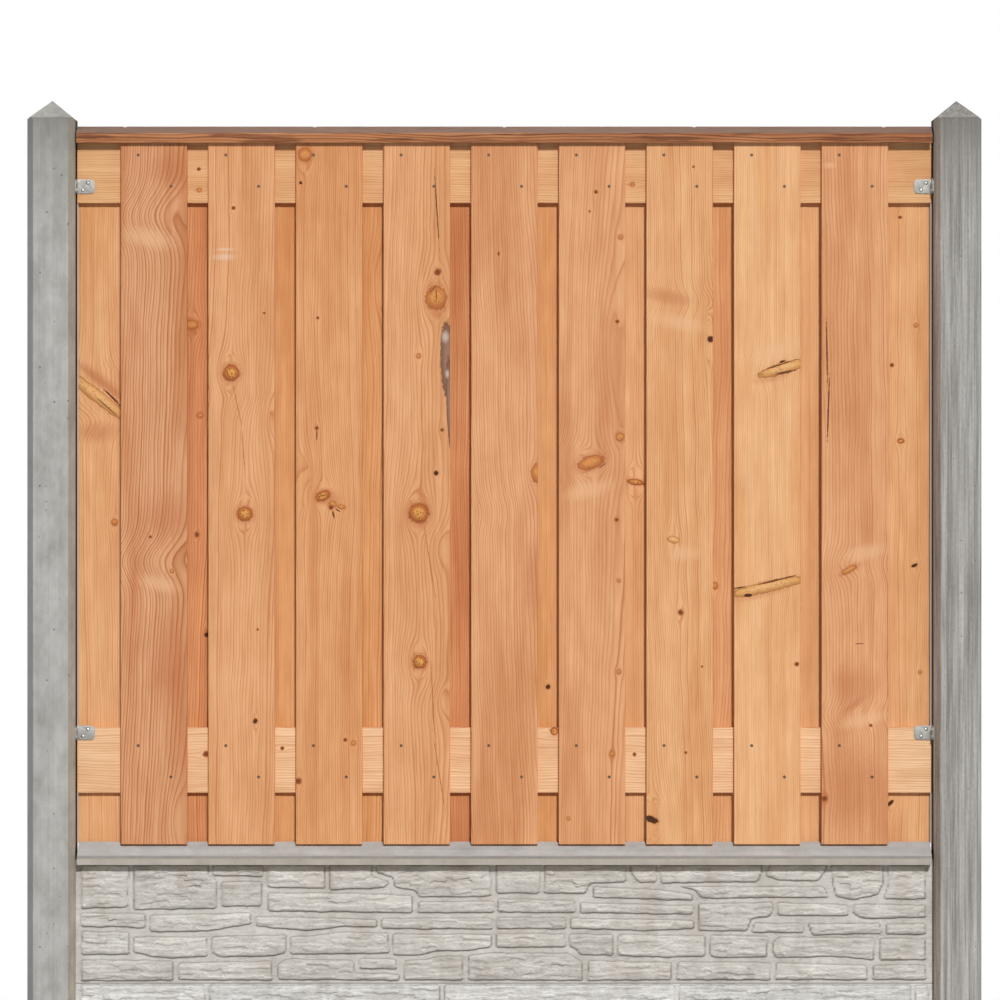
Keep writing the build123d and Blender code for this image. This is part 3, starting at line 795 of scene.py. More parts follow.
    def paint_side_shade(self, tree: Tree, behind: Socket, colour: Socket) -> Socket:
        """Paint light and shade on the post's sides: a warm painted shade with the timber's bounced light
        on the faces towards the panel, a dark painted shade on the strip behind it, and a grey painted
        shade on the far side.

        Args:
            tree: The material's node tree.
            behind: The place from front to back in metres.
            colour: The colour so far.

        Returns:
            The new colour.
        """
        aside = add_node(tree, "SeparateXYZ", {0: add_node(tree, "TexCoord", {}, out="Normal")})
        facing = add_node(tree, "Math", {0: aside, 1: self.panel_side}, operation="MULTIPLY")
        share = add_node(tree, "MapRange", {0: facing, 1: 0.3, 2: 0.6, 3: 0.0, 4: 1.0})
        # Grey painted shade on the faces that look away from the panel
        away = add_node(tree, "MapRange", {0: facing, 1: -0.3, 2: -0.6, 3: 0.0, 4: self.outer_shade})
        colour = add_node(tree, "Mix", {0: away, 6: colour, 7: linear("#72777b")}, **BLEND)
        # Dark painted shade on the strip of the post's side behind the panel
        hidden = add_node(tree, "MapRange", {0: behind, 1: -12 * MM, 2: 2 * MM, 3: 0.0, 4: 0.85})
        square_on = add_node(tree, "MapRange", {0: facing, 1: 0.85, 2: 0.95, 3: 0.0, 4: 1.0})
        strip_shade = add_node(tree, "Math", {0: hidden, 1: square_on}, operation="MULTIPLY")
        colour = add_node(tree, "Mix", {0: strip_shade, 6: colour, 7: linear("#4b3f36")}, **BLEND)
        # Warm painted shade on the faces towards the panel, for shade and the timber's bounced light
        return add_node(tree, "Mix", {0: share, 6: colour, 7: linear("#ecdfd3")}, **TINT)

    def draw_clefts(self, tree: Tree, local: Socket, level: Socket) -> Socket:
        """Draw the thin dark lines of split stone, coarse ones and then fine ones.

        Args:
            tree: The material's node tree.
            local: The place in millimetres.
            level: The brightness so far.

        Returns:
            The new brightness.
        """
        for cell, width, dark in CLEFTS:
            split = self.stretched_noise(tree, local, cell, 3, dark * 20)
            off = add_node(tree, "Math", {0: split, 1: 0.5}, operation="SUBTRACT")
            gap = add_node(tree, "Math", {0: off}, operation="ABSOLUTE")
            line = add_node(tree, "MapRange", {0: gap, 1: 0.0, 2: width, 3: dark, 4: 1.0})
            level = add_node(tree, "Math", {0: level, 1: line}, operation="MULTIPLY")
        return level

    def shade_relief(self, tree: Tree, level: Socket) -> Socket:
        """Give each stone its own tint, lighten what leans to the sky and darken what looks down.

        Args:
            tree: The material's node tree.
            level: The brightness so far.

        Returns:
            The new brightness.
        """
        tint = add_node(tree, "Attribute", {}, out="Fac", attribute_name="tint")
        stone = add_node(tree, "MapRange", {0: tint, 1: -1, 2: 1, 3: 0.94, 4: 1.06})
        lean = add_node(tree, "Attribute", {}, out="Fac", attribute_name="lean")
        sky = add_node(tree, "MapRange", {0: lean, 1: -0.6, 2: 0.6, 3: 1.13, 4: 0.76})
        both = add_node(tree, "Math", {0: stone, 1: sky}, operation="MULTIPLY")
        return add_node(tree, "Math", {0: level, 1: both}, operation="MULTIPLY")


@dataclass(frozen=True)
class ZincSteel(Finish):
    """Hot-dip galvanised steel: a dull grey metal in faint crystals of 4 mm."""

    metallic: float = 1.0
    base: str = "#b4b4b0"
    crystal_mm: float = 4.0
    scratch_mm: float = 1.5

    def dress(self, tree: Tree, shader: bpy.types.ShaderNode) -> None:
        """Add the crystals and a little scratching.

        Args:
            tree: The material's node tree.
            shader: Its shader.
        """
        local = self.millimetres(tree)
        values = {"Vector": self.sized(tree, local, (self.crystal_mm,) * 3), "Scale": 1}
        cells = add_node(tree, "TexVoronoi", values, out="Color")
        crystal = add_node(tree, "SeparateColor", {0: cells})
        level = add_node(tree, "MapRange", {0: crystal, 1: 0, 2: 1, 3: 0.88, 4: 1.1})
        colour = self.shaded(tree, linear(self.base), [level] * 3)
        tree.links.new(colour, shader.inputs["Base Color"])
        smooth, dull = self.roughness - 0.06, self.roughness + 0.1
        rough = add_node(tree, "MapRange", {0: crystal, 1: 0, 2: 1, 3: smooth, 4: dull})
        tree.links.new(rough, shader.inputs["Roughness"])
        scratch = self.stretched_noise(tree, local, (self.scratch_mm,) * 3)
        bump = add_node(tree, "Bump", {"Height": scratch, "Distance": 0.06 * MM, "Strength": 0.5})
        tree.links.new(bump, shader.inputs["Normal"])


@dataclass(frozen=True)
class MouldedNylon(Finish):
    """Moulded nylon: an even pale grey with a faint flow."""

    base: str = "#9ea1a3"
    flow: str = "#b6b9bb"
    flow_mm: float = 3.0

    def dress(self, tree: Tree, shader: bpy.types.ShaderNode) -> None:
        """Add the faint flow.

        Args:
            tree: The material's node tree.
            shader: Its shader.
        """
        flow = self.stretched_noise(tree, self.millimetres(tree), (self.flow_mm,) * 3)
        colour = add_node(tree, "Mix", {0: flow, 6: linear(self.base), 7: linear(self.flow)}, **BLEND)
        tree.links.new(colour, shader.inputs["Base Color"])


def dress_node(name: str, finish: Finish) -> None:
    """Give a CAD node its finish.

    Args:
        name: The node's name.
        finish: The finish.
    """
    slots = frame["nodes"][name].material_slots
    material = finish.material()
    for slot in slots:
        slot.link = "OBJECT"
        slot.material = material
    LOG.info("%s wears %s", name, finish.name)


def settle(piece: bpy.types.Object, finish: Finish, slot: str, *nodes: str) -> None:
    """Finish a new piece: its place goes into its mesh, and it stands for its nodes.

    Args:
        piece: The new piece.
        finish: Its finish.
        slot: Not used.
        *nodes: The CAD nodes that it replaces.
    """
    piece.data.transform(piece.matrix_world)
    piece.matrix_world = Matrix.Identity(4)
    piece.data.materials.clear()
    piece.data.materials.append(finish.material())
    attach(piece, ROOT)
    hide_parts(*nodes)
    LOG.info("%s: %d faces", piece.name, len(piece.data.polygons))


def deselect() -> None:
    """Leave nothing selected, so that an operator acts on the next piece alone."""
    for piece in bpy.context.scene.objects:
        piece.select_set(False)


def islands(name: str) -> list[tuple[Vector, Vector]]:
    """Find the separate solids of a CAD node.

    Args:
        name: The node's name.

    Returns:
        Each solid's lowest and highest corner.
    """
    mesh = bmesh.new()
    mesh.from_mesh(frame["nodes"][name].data)
    bmesh.ops.remove_doubles(mesh, verts=mesh.verts, dist=SAME_PLACE)
    unseen = set(mesh.verts)
    found = []
    for start in mesh.verts:
        if start not in unseen:
            continue
        unseen.discard(start)
        island, edge = [start], [start]
        while edge:
            vert = edge.pop()
            for link in vert.link_edges:
                other = link.other_vert(vert)
                if other in unseen:
                    unseen.discard(other)
                    island.append(other)
                    edge.append(other)
        places = np.array([vert.co for vert in island])
        found.append((Vector(places.min(0)), Vector(places.max(0))))
    mesh.free()
    return found


@dataclass
class Screw:
    """A turned screw that points down its own Z, with its head's seat at the origin."""

    profile: list[tuple[float, float]]
    lobes: int
    recess: float
    sides: int = 24
    lobe_depth: float = 0.32

    def model(self) -> bpy.types.Object:
        """Turn the screw from its point up to its head and sink the driver's recess.

        Returns:
            The screw.
        """
        deselect()
        radius, height = self.profile[0]
        bpy.ops.mesh.primitive_circle_add(
            vertices=self.sides, radius=radius, fill_type="NGON", location=(0, 0, height)
        )
        screw = bpy.context.object
        bpy.ops.object.mode_set(mode="EDIT")
        bpy.ops.mesh.select_all(action="SELECT")
        for next_radius, next_height in self.profile[1:]:
            self.grow(radius, height, next_radius, next_height)
            radius, height = next_radius, next_height
        self.grow(radius, height, self.recess, height)
        self.cut_lobes(screw)
        self.grow(self.recess, height, self.recess * 0.94, height - self.recess * 0.8)
        bpy.ops.mesh.select_all(action="SELECT")
        bpy.ops.mesh.normals_make_consistent(inside=False)
        bpy.ops.object.mode_set(mode="OBJECT")
        bpy.ops.object.transform_apply(location=True)
        bpy.ops.object.shade_smooth_by_angle(angle=math.radians(35))
        return screw

    def grow(self, radius: float, height: float, next_radius: float, next_height: float) -> None:
        """Carry the selected disc on to its next radius and height.

        Args:
            radius: Its radius.
            height: Its height.
            next_radius: The radius to reach.
            next_height: The height to reach.
        """
        bpy.ops.mesh.extrude_region_move(TRANSFORM_OT_translate={"value": (0, 0, next_height - height)})
        share = next_radius / radius
        bpy.ops.transform.resize(value=(share, share, 1), center_override=(0, 0, next_height))

    def cut_lobes(self, screw: bpy.types.Object) -> None:
        """Pull in every second group of corners round the recess.

        Args:
            screw: The screw, in edit mode with the recess's rim selected.
        """
        mesh = bmesh.from_edit_mesh(screw.data)
        for vert in mesh.verts:
            if vert.select:
                turn = math.atan2(vert.co.y, vert.co.x) / math.tau * self.lobes
                share = 1 - self.lobe_depth * (0.5 + 0.5 * math.cos(turn * math.tau))
                vert.co.x *= share
                vert.co.y *= share
        bmesh.update_edit_mesh(screw.data)


@dataclass
class Fasteners:
    """All screws of the bay, each group standing for its CAD node.

    A screw's size is its shank's radius, its head's radius and its length.
    """

    board: tuple[float, float, float] = (1.6 * MM, 3 * MM, 30 * MM)
    cap: tuple[float, float, float] = (2 * MM, 4 * MM, 50 * MM)
    rail: tuple[float, float, float] = (2 * MM, 4 * MM, 16.5 * MM)
    post: tuple[float, float, float] = (2 * MM, 4 * MM, 32 * MM)
    tip: float = 3 * MM
    thread_pitch: float = 1.6 * MM
    thread_depth: float = 0.25 * MM
    dome_steps: int = 5
    dome_step: float = 14
    sunk: float = 0.6 * MM
    cap_sunk: float = 0.2 * MM
    turn_apart: float = 1.9
    steel: Finish = ZincSteel("stainless screw steel", 0.45, base="#5f574f")
    plated: Finish = ZincSteel("zinc plated screw steel", 0.3, base="#bcbcb8")

    def shank(self, radius: float, length: float, start: float) -> list[tuple[float, float]]:
        """Draw a threaded shank from its point up to a height.

        Args:
            radius: Its radius over the threads.
            length: How far its point lies below the seat.
            start: The height where the head starts.

        Returns:
            Radius and height of each corner of the profile.
        """
        profile = [(0.25 * MM, -length)]
        height = -length + self.tip
        while height < start - 2 * self.thread_pitch:
            profile.append((radius - self.thread_depth, height))
            profile.append((radius, height + self.thread_pitch / 2))
            height += self.thread_pitch
        profile.append((radius - self.thread_depth, height))
        profile.append((radius - self.thread_depth, start))
        return profile

    def countersunk(self, size: tuple[float, float, float], sunk: float) -> Screw:
        """Draw a screw whose flat head lies a little below the surface.

        Args:
            size: The screw's size.
            sunk: How far its head lies below the surface.

        Returns:
            The screw.
        """
        shank, head, length = size
        profile = self.shank(shank, length, -(head - shank) - 0.4 * MM)
        profile.append((head - sunk - 0.15 * MM, -sunk - 0.1 * MM))
        profile.append((head - sunk, -sunk))
        profile.append((head * 0.8, -sunk + 0.12 * MM))
        return Screw(profile, 6, head * 0.5)

    def round_headed(self, size: tuple[float, float, float]) -> Screw:
        """Draw a screw with a domed head that stands on the surface.

        Args:
            size: The screw's size.

        Returns:
            The screw.
        """
        shank, head, length = size
        profile = self.shank(shank, length, -0.2 * MM)
        profile.append((shank - self.thread_depth, 0))
        profile.append((head, 0))
        for step in range(1, self.dome_steps + 1):
            angle = math.radians(self.dome_step * step)
            profile.append((head * math.cos(angle), ROUND_HEAD_RISE * math.sin(angle)))
        return Screw(profile, 4, head * 0.3)

    def place(self, screw: Screw, node: str, axis: int, outward: int, finish: Finish, slot: str) -> None:
        """Copy a screw to every solid of a CAD node.

        Args:
            screw: The screw to copy.
            node: The CAD node.
            axis: The axis that the screws lie on: 0, 1 or 2.
            outward: Which way the heads face: 1, -1, or 0 for towards the middle.
            finish: Their finish.
            slot: The record's slot.
        """
        pattern = screw.model()
        copies = []
        for number, (low, high) in enumerate(islands(node)):
            middle = (low + high) / 2
            facing = Vector((0, 0, 0))
            facing[axis] = outward or -math.copysign(1, middle[axis])
            seat = middle.copy()
            seat[axis] = high[axis] if facing[axis] > 0 else low[axis]
            if "bracket" in node:
                seat -= facing * ROUND_HEAD_RISE
            turn = Matrix.Rotation(number * self.turn_apart, 4, "Z")
            aim = facing.to_track_quat("Z", "Y").to_matrix().to_4x4()
            mesh = pattern.data.copy()
            mesh.transform(Matrix.Translation(seat) @ aim @ turn)
            copy = bpy.data.objects.new(node + "_copy", mesh)
            bpy.context.scene.collection.objects.link(copy)
            copies.append(copy)
        bpy.data.objects.remove(pattern)
        deselect()
        for copy in copies:
            copy.select_set(True)
        bpy.context.view_layer.objects.active = copies[0]
        bpy.ops.object.join()
        piece = bpy.context.object
        piece.name = node.replace("screws", "drive_screws")
        settle(piece, finish, slot, node)

    def build(self) -> None:
        """Model and place every group."""
        board = self.countersunk(self.board, self.sunk)
        cap = self.countersunk(self.cap, self.cap_sunk)
        rail = self.round_headed(self.rail)
        post = self.round_headed(self.post)
        self.place(board, "front_board_screws", 1, -1, self.steel, "stainless_screws")
        self.place(board, "back_board_screws", 1, 1, self.steel, "stainless_screws")
        self.place(cap, "cap_rail_screws", 2, 1, self.steel, "stainless_screws")
        self.place(rail, "bracket_rail_screws", 1, -1, self.plated, "plated_screws")
        self.place(post, "bracket_post_screws", 0, 0, self.plated, "plated_screws")


@dataclass
class Brackets:
    """Pressed angle brackets with worn, rounded edges."""

    edge: float = 0.7 * MM
    segments: int = 3
    flat_degrees: float = 2
    sharp_degrees: float = 40
    finish: Finish = ZincSteel("galvanised bracket steel", 0.55, base="#918f8b")

    def build(self) -> None:
        """Round off a merged copy of each bracket."""
        for end in ("top_left", "top_right", "bottom_left", "bottom_right"):
            name = "bracket_" + end
            deselect()
            piece = bpy.data.objects.new("angle_" + name, frame["nodes"][name].data.copy())
            bpy.context.scene.collection.objects.link(piece)
            piece.select_set(True)
            bpy.context.view_layer.objects.active = piece
            bpy.ops.object.mode_set(mode="EDIT")
            bpy.ops.mesh.select_all(action="SELECT")
            bpy.ops.mesh.remove_doubles(threshold=SAME_PLACE)
            bpy.ops.mesh.dissolve_limited(angle_limit=math.radians(self.flat_degrees))
            bpy.ops.object.mode_set(mode="OBJECT")
            bevel = piece.modifiers.new("worn edges", "BEVEL")
            bevel.width = self.edge
            bevel.segments = self.segments
            bevel.angle_limit = math.radians(self.sharp_degrees)
            bpy.ops.object.modifier_apply(modifier=bevel.name)
            bpy.ops.object.shade_smooth_by_angle(angle=math.radians(self.sharp_degrees))
            settle(piece, self.finish, "galvanised_steel", name)


@dataclass
class StoneBoard:
    """A concrete base board whose front is cast as rough-faced stones in mortar.

    Relief and proud clefts are in millimetres, and so are the ledges of the split stone.
    """

    node: str
    slot: str
    name: str
    finish: Finish
    seed: int
    columns: int = 540
    rows: int = 170
    relief: float = 5.0
    waviness: float = 1.6
    ledge_mm: tuple[float, float] = (48, 7.5)
    ledge_depth: float = 2.8
    proud: float = 1.2
    rim: float = 0.4 * MM
    # How dark the painted shade along the board's rim is
    rim_shade: float = 0.8

    def stones(self) -> tuple[np.ndarray, BVHTree, list[int]]:
        """Read the stones' outlines from the CAD node.

        Returns:
            The outlines' edges in millimetres, a tree of the stones' faces, and each face's stone.
        """
        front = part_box(self.node)[0].y
        mesh = bmesh.new()
        mesh.from_mesh(frame["nodes"][self.node].data)
        bmesh.ops.remove_doubles(mesh, verts=mesh.verts, dist=SAME_PLACE)
        others = [f for f in mesh.faces if max(abs(v.co.y - front) for v in f.verts) > 1e-5]
        bmesh.ops.delete(mesh, geom=others, context="FACES")
        mesh.faces.ensure_lookup_table()
        edges = [
            [c for v in e.verts for c in (v.co.x / MM, v.co.z / MM)]
            for e in mesh.edges
            if len(e.link_faces) == 1
        ]
        owner = [-1] * len(mesh.faces)
        count = 0
        for face in mesh.faces:
            if owner[face.index] >= 0:
                continue
            open_faces = [face]
            owner[face.index] = count
            while open_faces:
                for edge in open_faces.pop().edges:
                    for other in edge.link_faces:
                        if owner[other.index] < 0:
                            owner[other.index] = count
                            open_faces.append(other)
            count += 1
        tree = BVHTree.FromBMesh(mesh)
        mesh.free()
        LOG.info("%s: %d stones", self.node, count)
        return np.array(edges), tree, owner

    def outline_distance(self, points: np.ndarray, edges: np.ndarray) -> tuple[np.ndarray, np.ndarray]:
        """Measure the way from each point to the nearest stone's outline.

        Args:
            points: The points in millimetres.
            edges: The outlines' edges in millimetres.

        Returns:
            The distance, and how much of it leads upwards, both in millimetres.
        """
        start, end = edges[:, :2], edges[:, 2:]
        span = end - start
        length = (span**2).sum(1)
        nearest = np.empty(len(points))
        upwards = np.empty(len(points))
        for first in range(0, len(points), 2048):
            gap = points[first : first + 2048, None, :] - start[None]
            share = np.clip((gap * span).sum(2) / length, 0, 1)
            way = gap - share[..., None] * span
            square = (way**2).sum(2)
            best = square.argmin(1)
            rows = np.arange(len(best))
            nearest[first : first + 2048] = square[rows, best] ** 0.5
            upwards[first : first + 2048] = -way[rows, best, 1]
        return nearest, upwards

    def ledges(self, x: float, z: float, shift: float) -> float:
        """Work out the cleft ledges at a point of a stone.

        Args:
            x: The point along the board in millimetres.
            z: Its height in millimetres.
            shift: Moves the pattern, so that stones differ.

        Returns:
            How far they stand out in millimetres.
        """
        aside = x + 9 * noise.noise(Vector((x / 28, z / 9, shift + 7)))
        rise = z + 5 * noise.noise(Vector((x / 40, z / 16, shift + 3)))
        rise += 2.2 * noise.noise(Vector((x / 9, z / 6, shift + 9)))
        layer = math.floor(rise / self.ledge_mm[1] + shift)
        share = rise / self.ledge_mm[1] + shift - layer
        patch = math.floor(aside / self.ledge_mm[0] + layer * 0.37)
        depth = noise.cell(Vector((layer * 1.3 + 0.5, patch * 1.7 + 0.5, shift)))
        rough = 0.6 * noise.fractal(Vector((x / 13, z / 7, shift)), 0.8, 2.0, 4)
        return self.ledge_depth * depth + 0.6 * share + rough

    def heights(self, places: list[Vector]) -> tuple[np.ndarray, np.ndarray, np.ndarray]:
        """Work out the relief of every point of the front.

        Args:
            places: The points in metres.

        Returns:
            Height above the mortar in millimetres, painted shade that grows with closeness to a joint and
            is darkest under a stone, and the stone's tint.
        """
        edges, tree, owner = self.stones()
        # Without a seed the vector noise starts from the clock
        noise.seed_set(self.seed)
        draw = random.Random(self.seed)
        stones = [(draw.uniform(-1, 1), draw.uniform(0, 90)) for _ in range(max(owner) + 1)]
        wavy = np.empty((len(places), 2))
        for i, co in enumerate(places):
            sway = noise.noise_vector(Vector((co.x * 45, co.z * 60, self.seed)))
            jag = noise.noise_vector(Vector((co.x * 190, co.z * 190, self.seed + 5)))
            wavy[i] = (
                co.x / MM + self.waviness * sway.x + 0.5 * jag.x,
                co.z / MM + self.waviness * sway.y + 0.5 * jag.y,
            )
        distance, upwards = self.outline_distance(wavy, edges)
        height = np.zeros(len(places))
        joint = np.zeros(len(places))
        tint = np.zeros(len(places))
        for i, (x, z) in enumerate(wavy):
            hit = tree.ray_cast(Vector((x * MM, -1, z * MM)), Vector((0, 1, 0)))[2]
            gap = distance[i]
            grit = 0.2 * noise.noise(Vector((x / 3.5, z / 3.5, self.seed)))
            below = upwards[i] / max(gap, 1e-3) * (1 if hit is None else -1)
            # Painted shade along each outline is strongest under a stone, where its shadow falls
            strength = 0.6 + 0.4 * max(0, below)
            if hit is None:
                height[i] = 0.3 + 0.3 * noise.noise(Vector((x / 9, z / 9, 3))) + grit
                joint[i] = strength * math.exp(-((gap / 1.5) ** 2))
                continue
            shade, shift = stones[owner[hit]]
            wall = 1 - math.exp(-gap / 1.2)
            crown = 1 - math.exp(-gap / 7)
            height[i] = wall * (2.6 + crown * (0.7 + self.ledges(x, z, shift))) + grit
            joint[i] = strength * math.exp(-((gap / 1.1) ** 2))
            tint[i] = shade
        return np.clip(height, 0, self.relief + self.proud), joint, tint

    def build(self) -> None:
        """Model the board: a fine grid raised into stones, and a plain body behind it."""
        low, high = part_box(self.node)
        mortar = low.y + self.relief * MM
        deselect()
        bpy.ops.mesh.primitive_grid_add(
            x_subdivisions=self.columns,
            y_subdivisions=self.rows,
            size=1,
            location=((low.x + high.x) / 2, mortar, (low.z + high.z) / 2),
            rotation=(math.pi / 2, 0, 0),
        )
        piece = bpy.context.object
        piece.name = self.name
        piece.scale = (high.x - low.x, high.z - low.z, 1)
        bpy.ops.object.transform_apply(location=True, rotation=True, scale=True)
        height, joint, tint = self.heights([vert.co.copy() for vert in piece.data.vertices])
        edge = np.array(
            [
                min(v.co.x - low.x, high.x - v.co.x, v.co.z - low.z, high.z - v.co.z) < self.rim
                for v in piece.data.vertices
            ]
        )
        height[edge] = 0
        # Painted shade all along the board's rim
        joint[edge] = self.rim_shade
        tint[edge] = 0
        step = (high.z - low.z) / MM / self.rows
        surface = height.reshape(self.rows + 1, self.columns + 1)
        lean = np.clip(np.gradient(surface, step, axis=0), -1, 1).ravel()
        lean[edge] = 0
        for label, values in (("joint", joint), ("tint", tint), ("lean", lean)):
            layer = piece.data.attributes.new(label, "FLOAT", "POINT")
            layer.data.foreach_set("value", values.astype(np.float32))
        tallest = float(height.max())
        raised = piece.vertex_groups.new(name="relief")
        for index, value in enumerate(height):
            raised.add([index], value / tallest, "REPLACE")
        push = piece.modifiers.new("raise the stones", "DISPLACE")
        push.direction = "Y"
        push.mid_level = 0
        push.strength = -tallest * MM
        push.vertex_group = raised.name
        bpy.ops.object.modifier_apply(modifier=push.name)
        self.add_body(piece, high.y - mortar)
        for vert, dark in zip(piece.data.vertices, piece.data.attributes["joint"].data):
            if vert.co.y > mortar + MM:
                dark.value = 0
        bpy.ops.object.shade_smooth_by_angle(angle=math.radians(50))
        settle(piece, self.finish, self.slot, self.node)

    def add_body(self, piece: bpy.types.Object, depth: float) -> None:
        """Carry the front's rim back to the board's plain back and close it.

        Args:
            piece: Not used; the operators act on the raised front as the active object.
            depth: How far back the plain back lies.
        """
        bpy.ops.object.mode_set(mode="EDIT")
        bpy.ops.mesh.select_mode(type="EDGE")
        bpy.ops.mesh.select_all(action="DESELECT")
        bpy.ops.mesh.select_non_manifold(extend=False, use_wire=False, use_boundary=True)
        bpy.ops.mesh.extrude_region_move(TRANSFORM_OT_translate={"value": (0, depth, 0)})
        bpy.ops.mesh.edge_face_add()
        bpy.ops.mesh.select_all(action="SELECT")
        bpy.ops.mesh.normals_make_consistent(inside=False)
        bpy.ops.object.mode_set(mode="OBJECT")


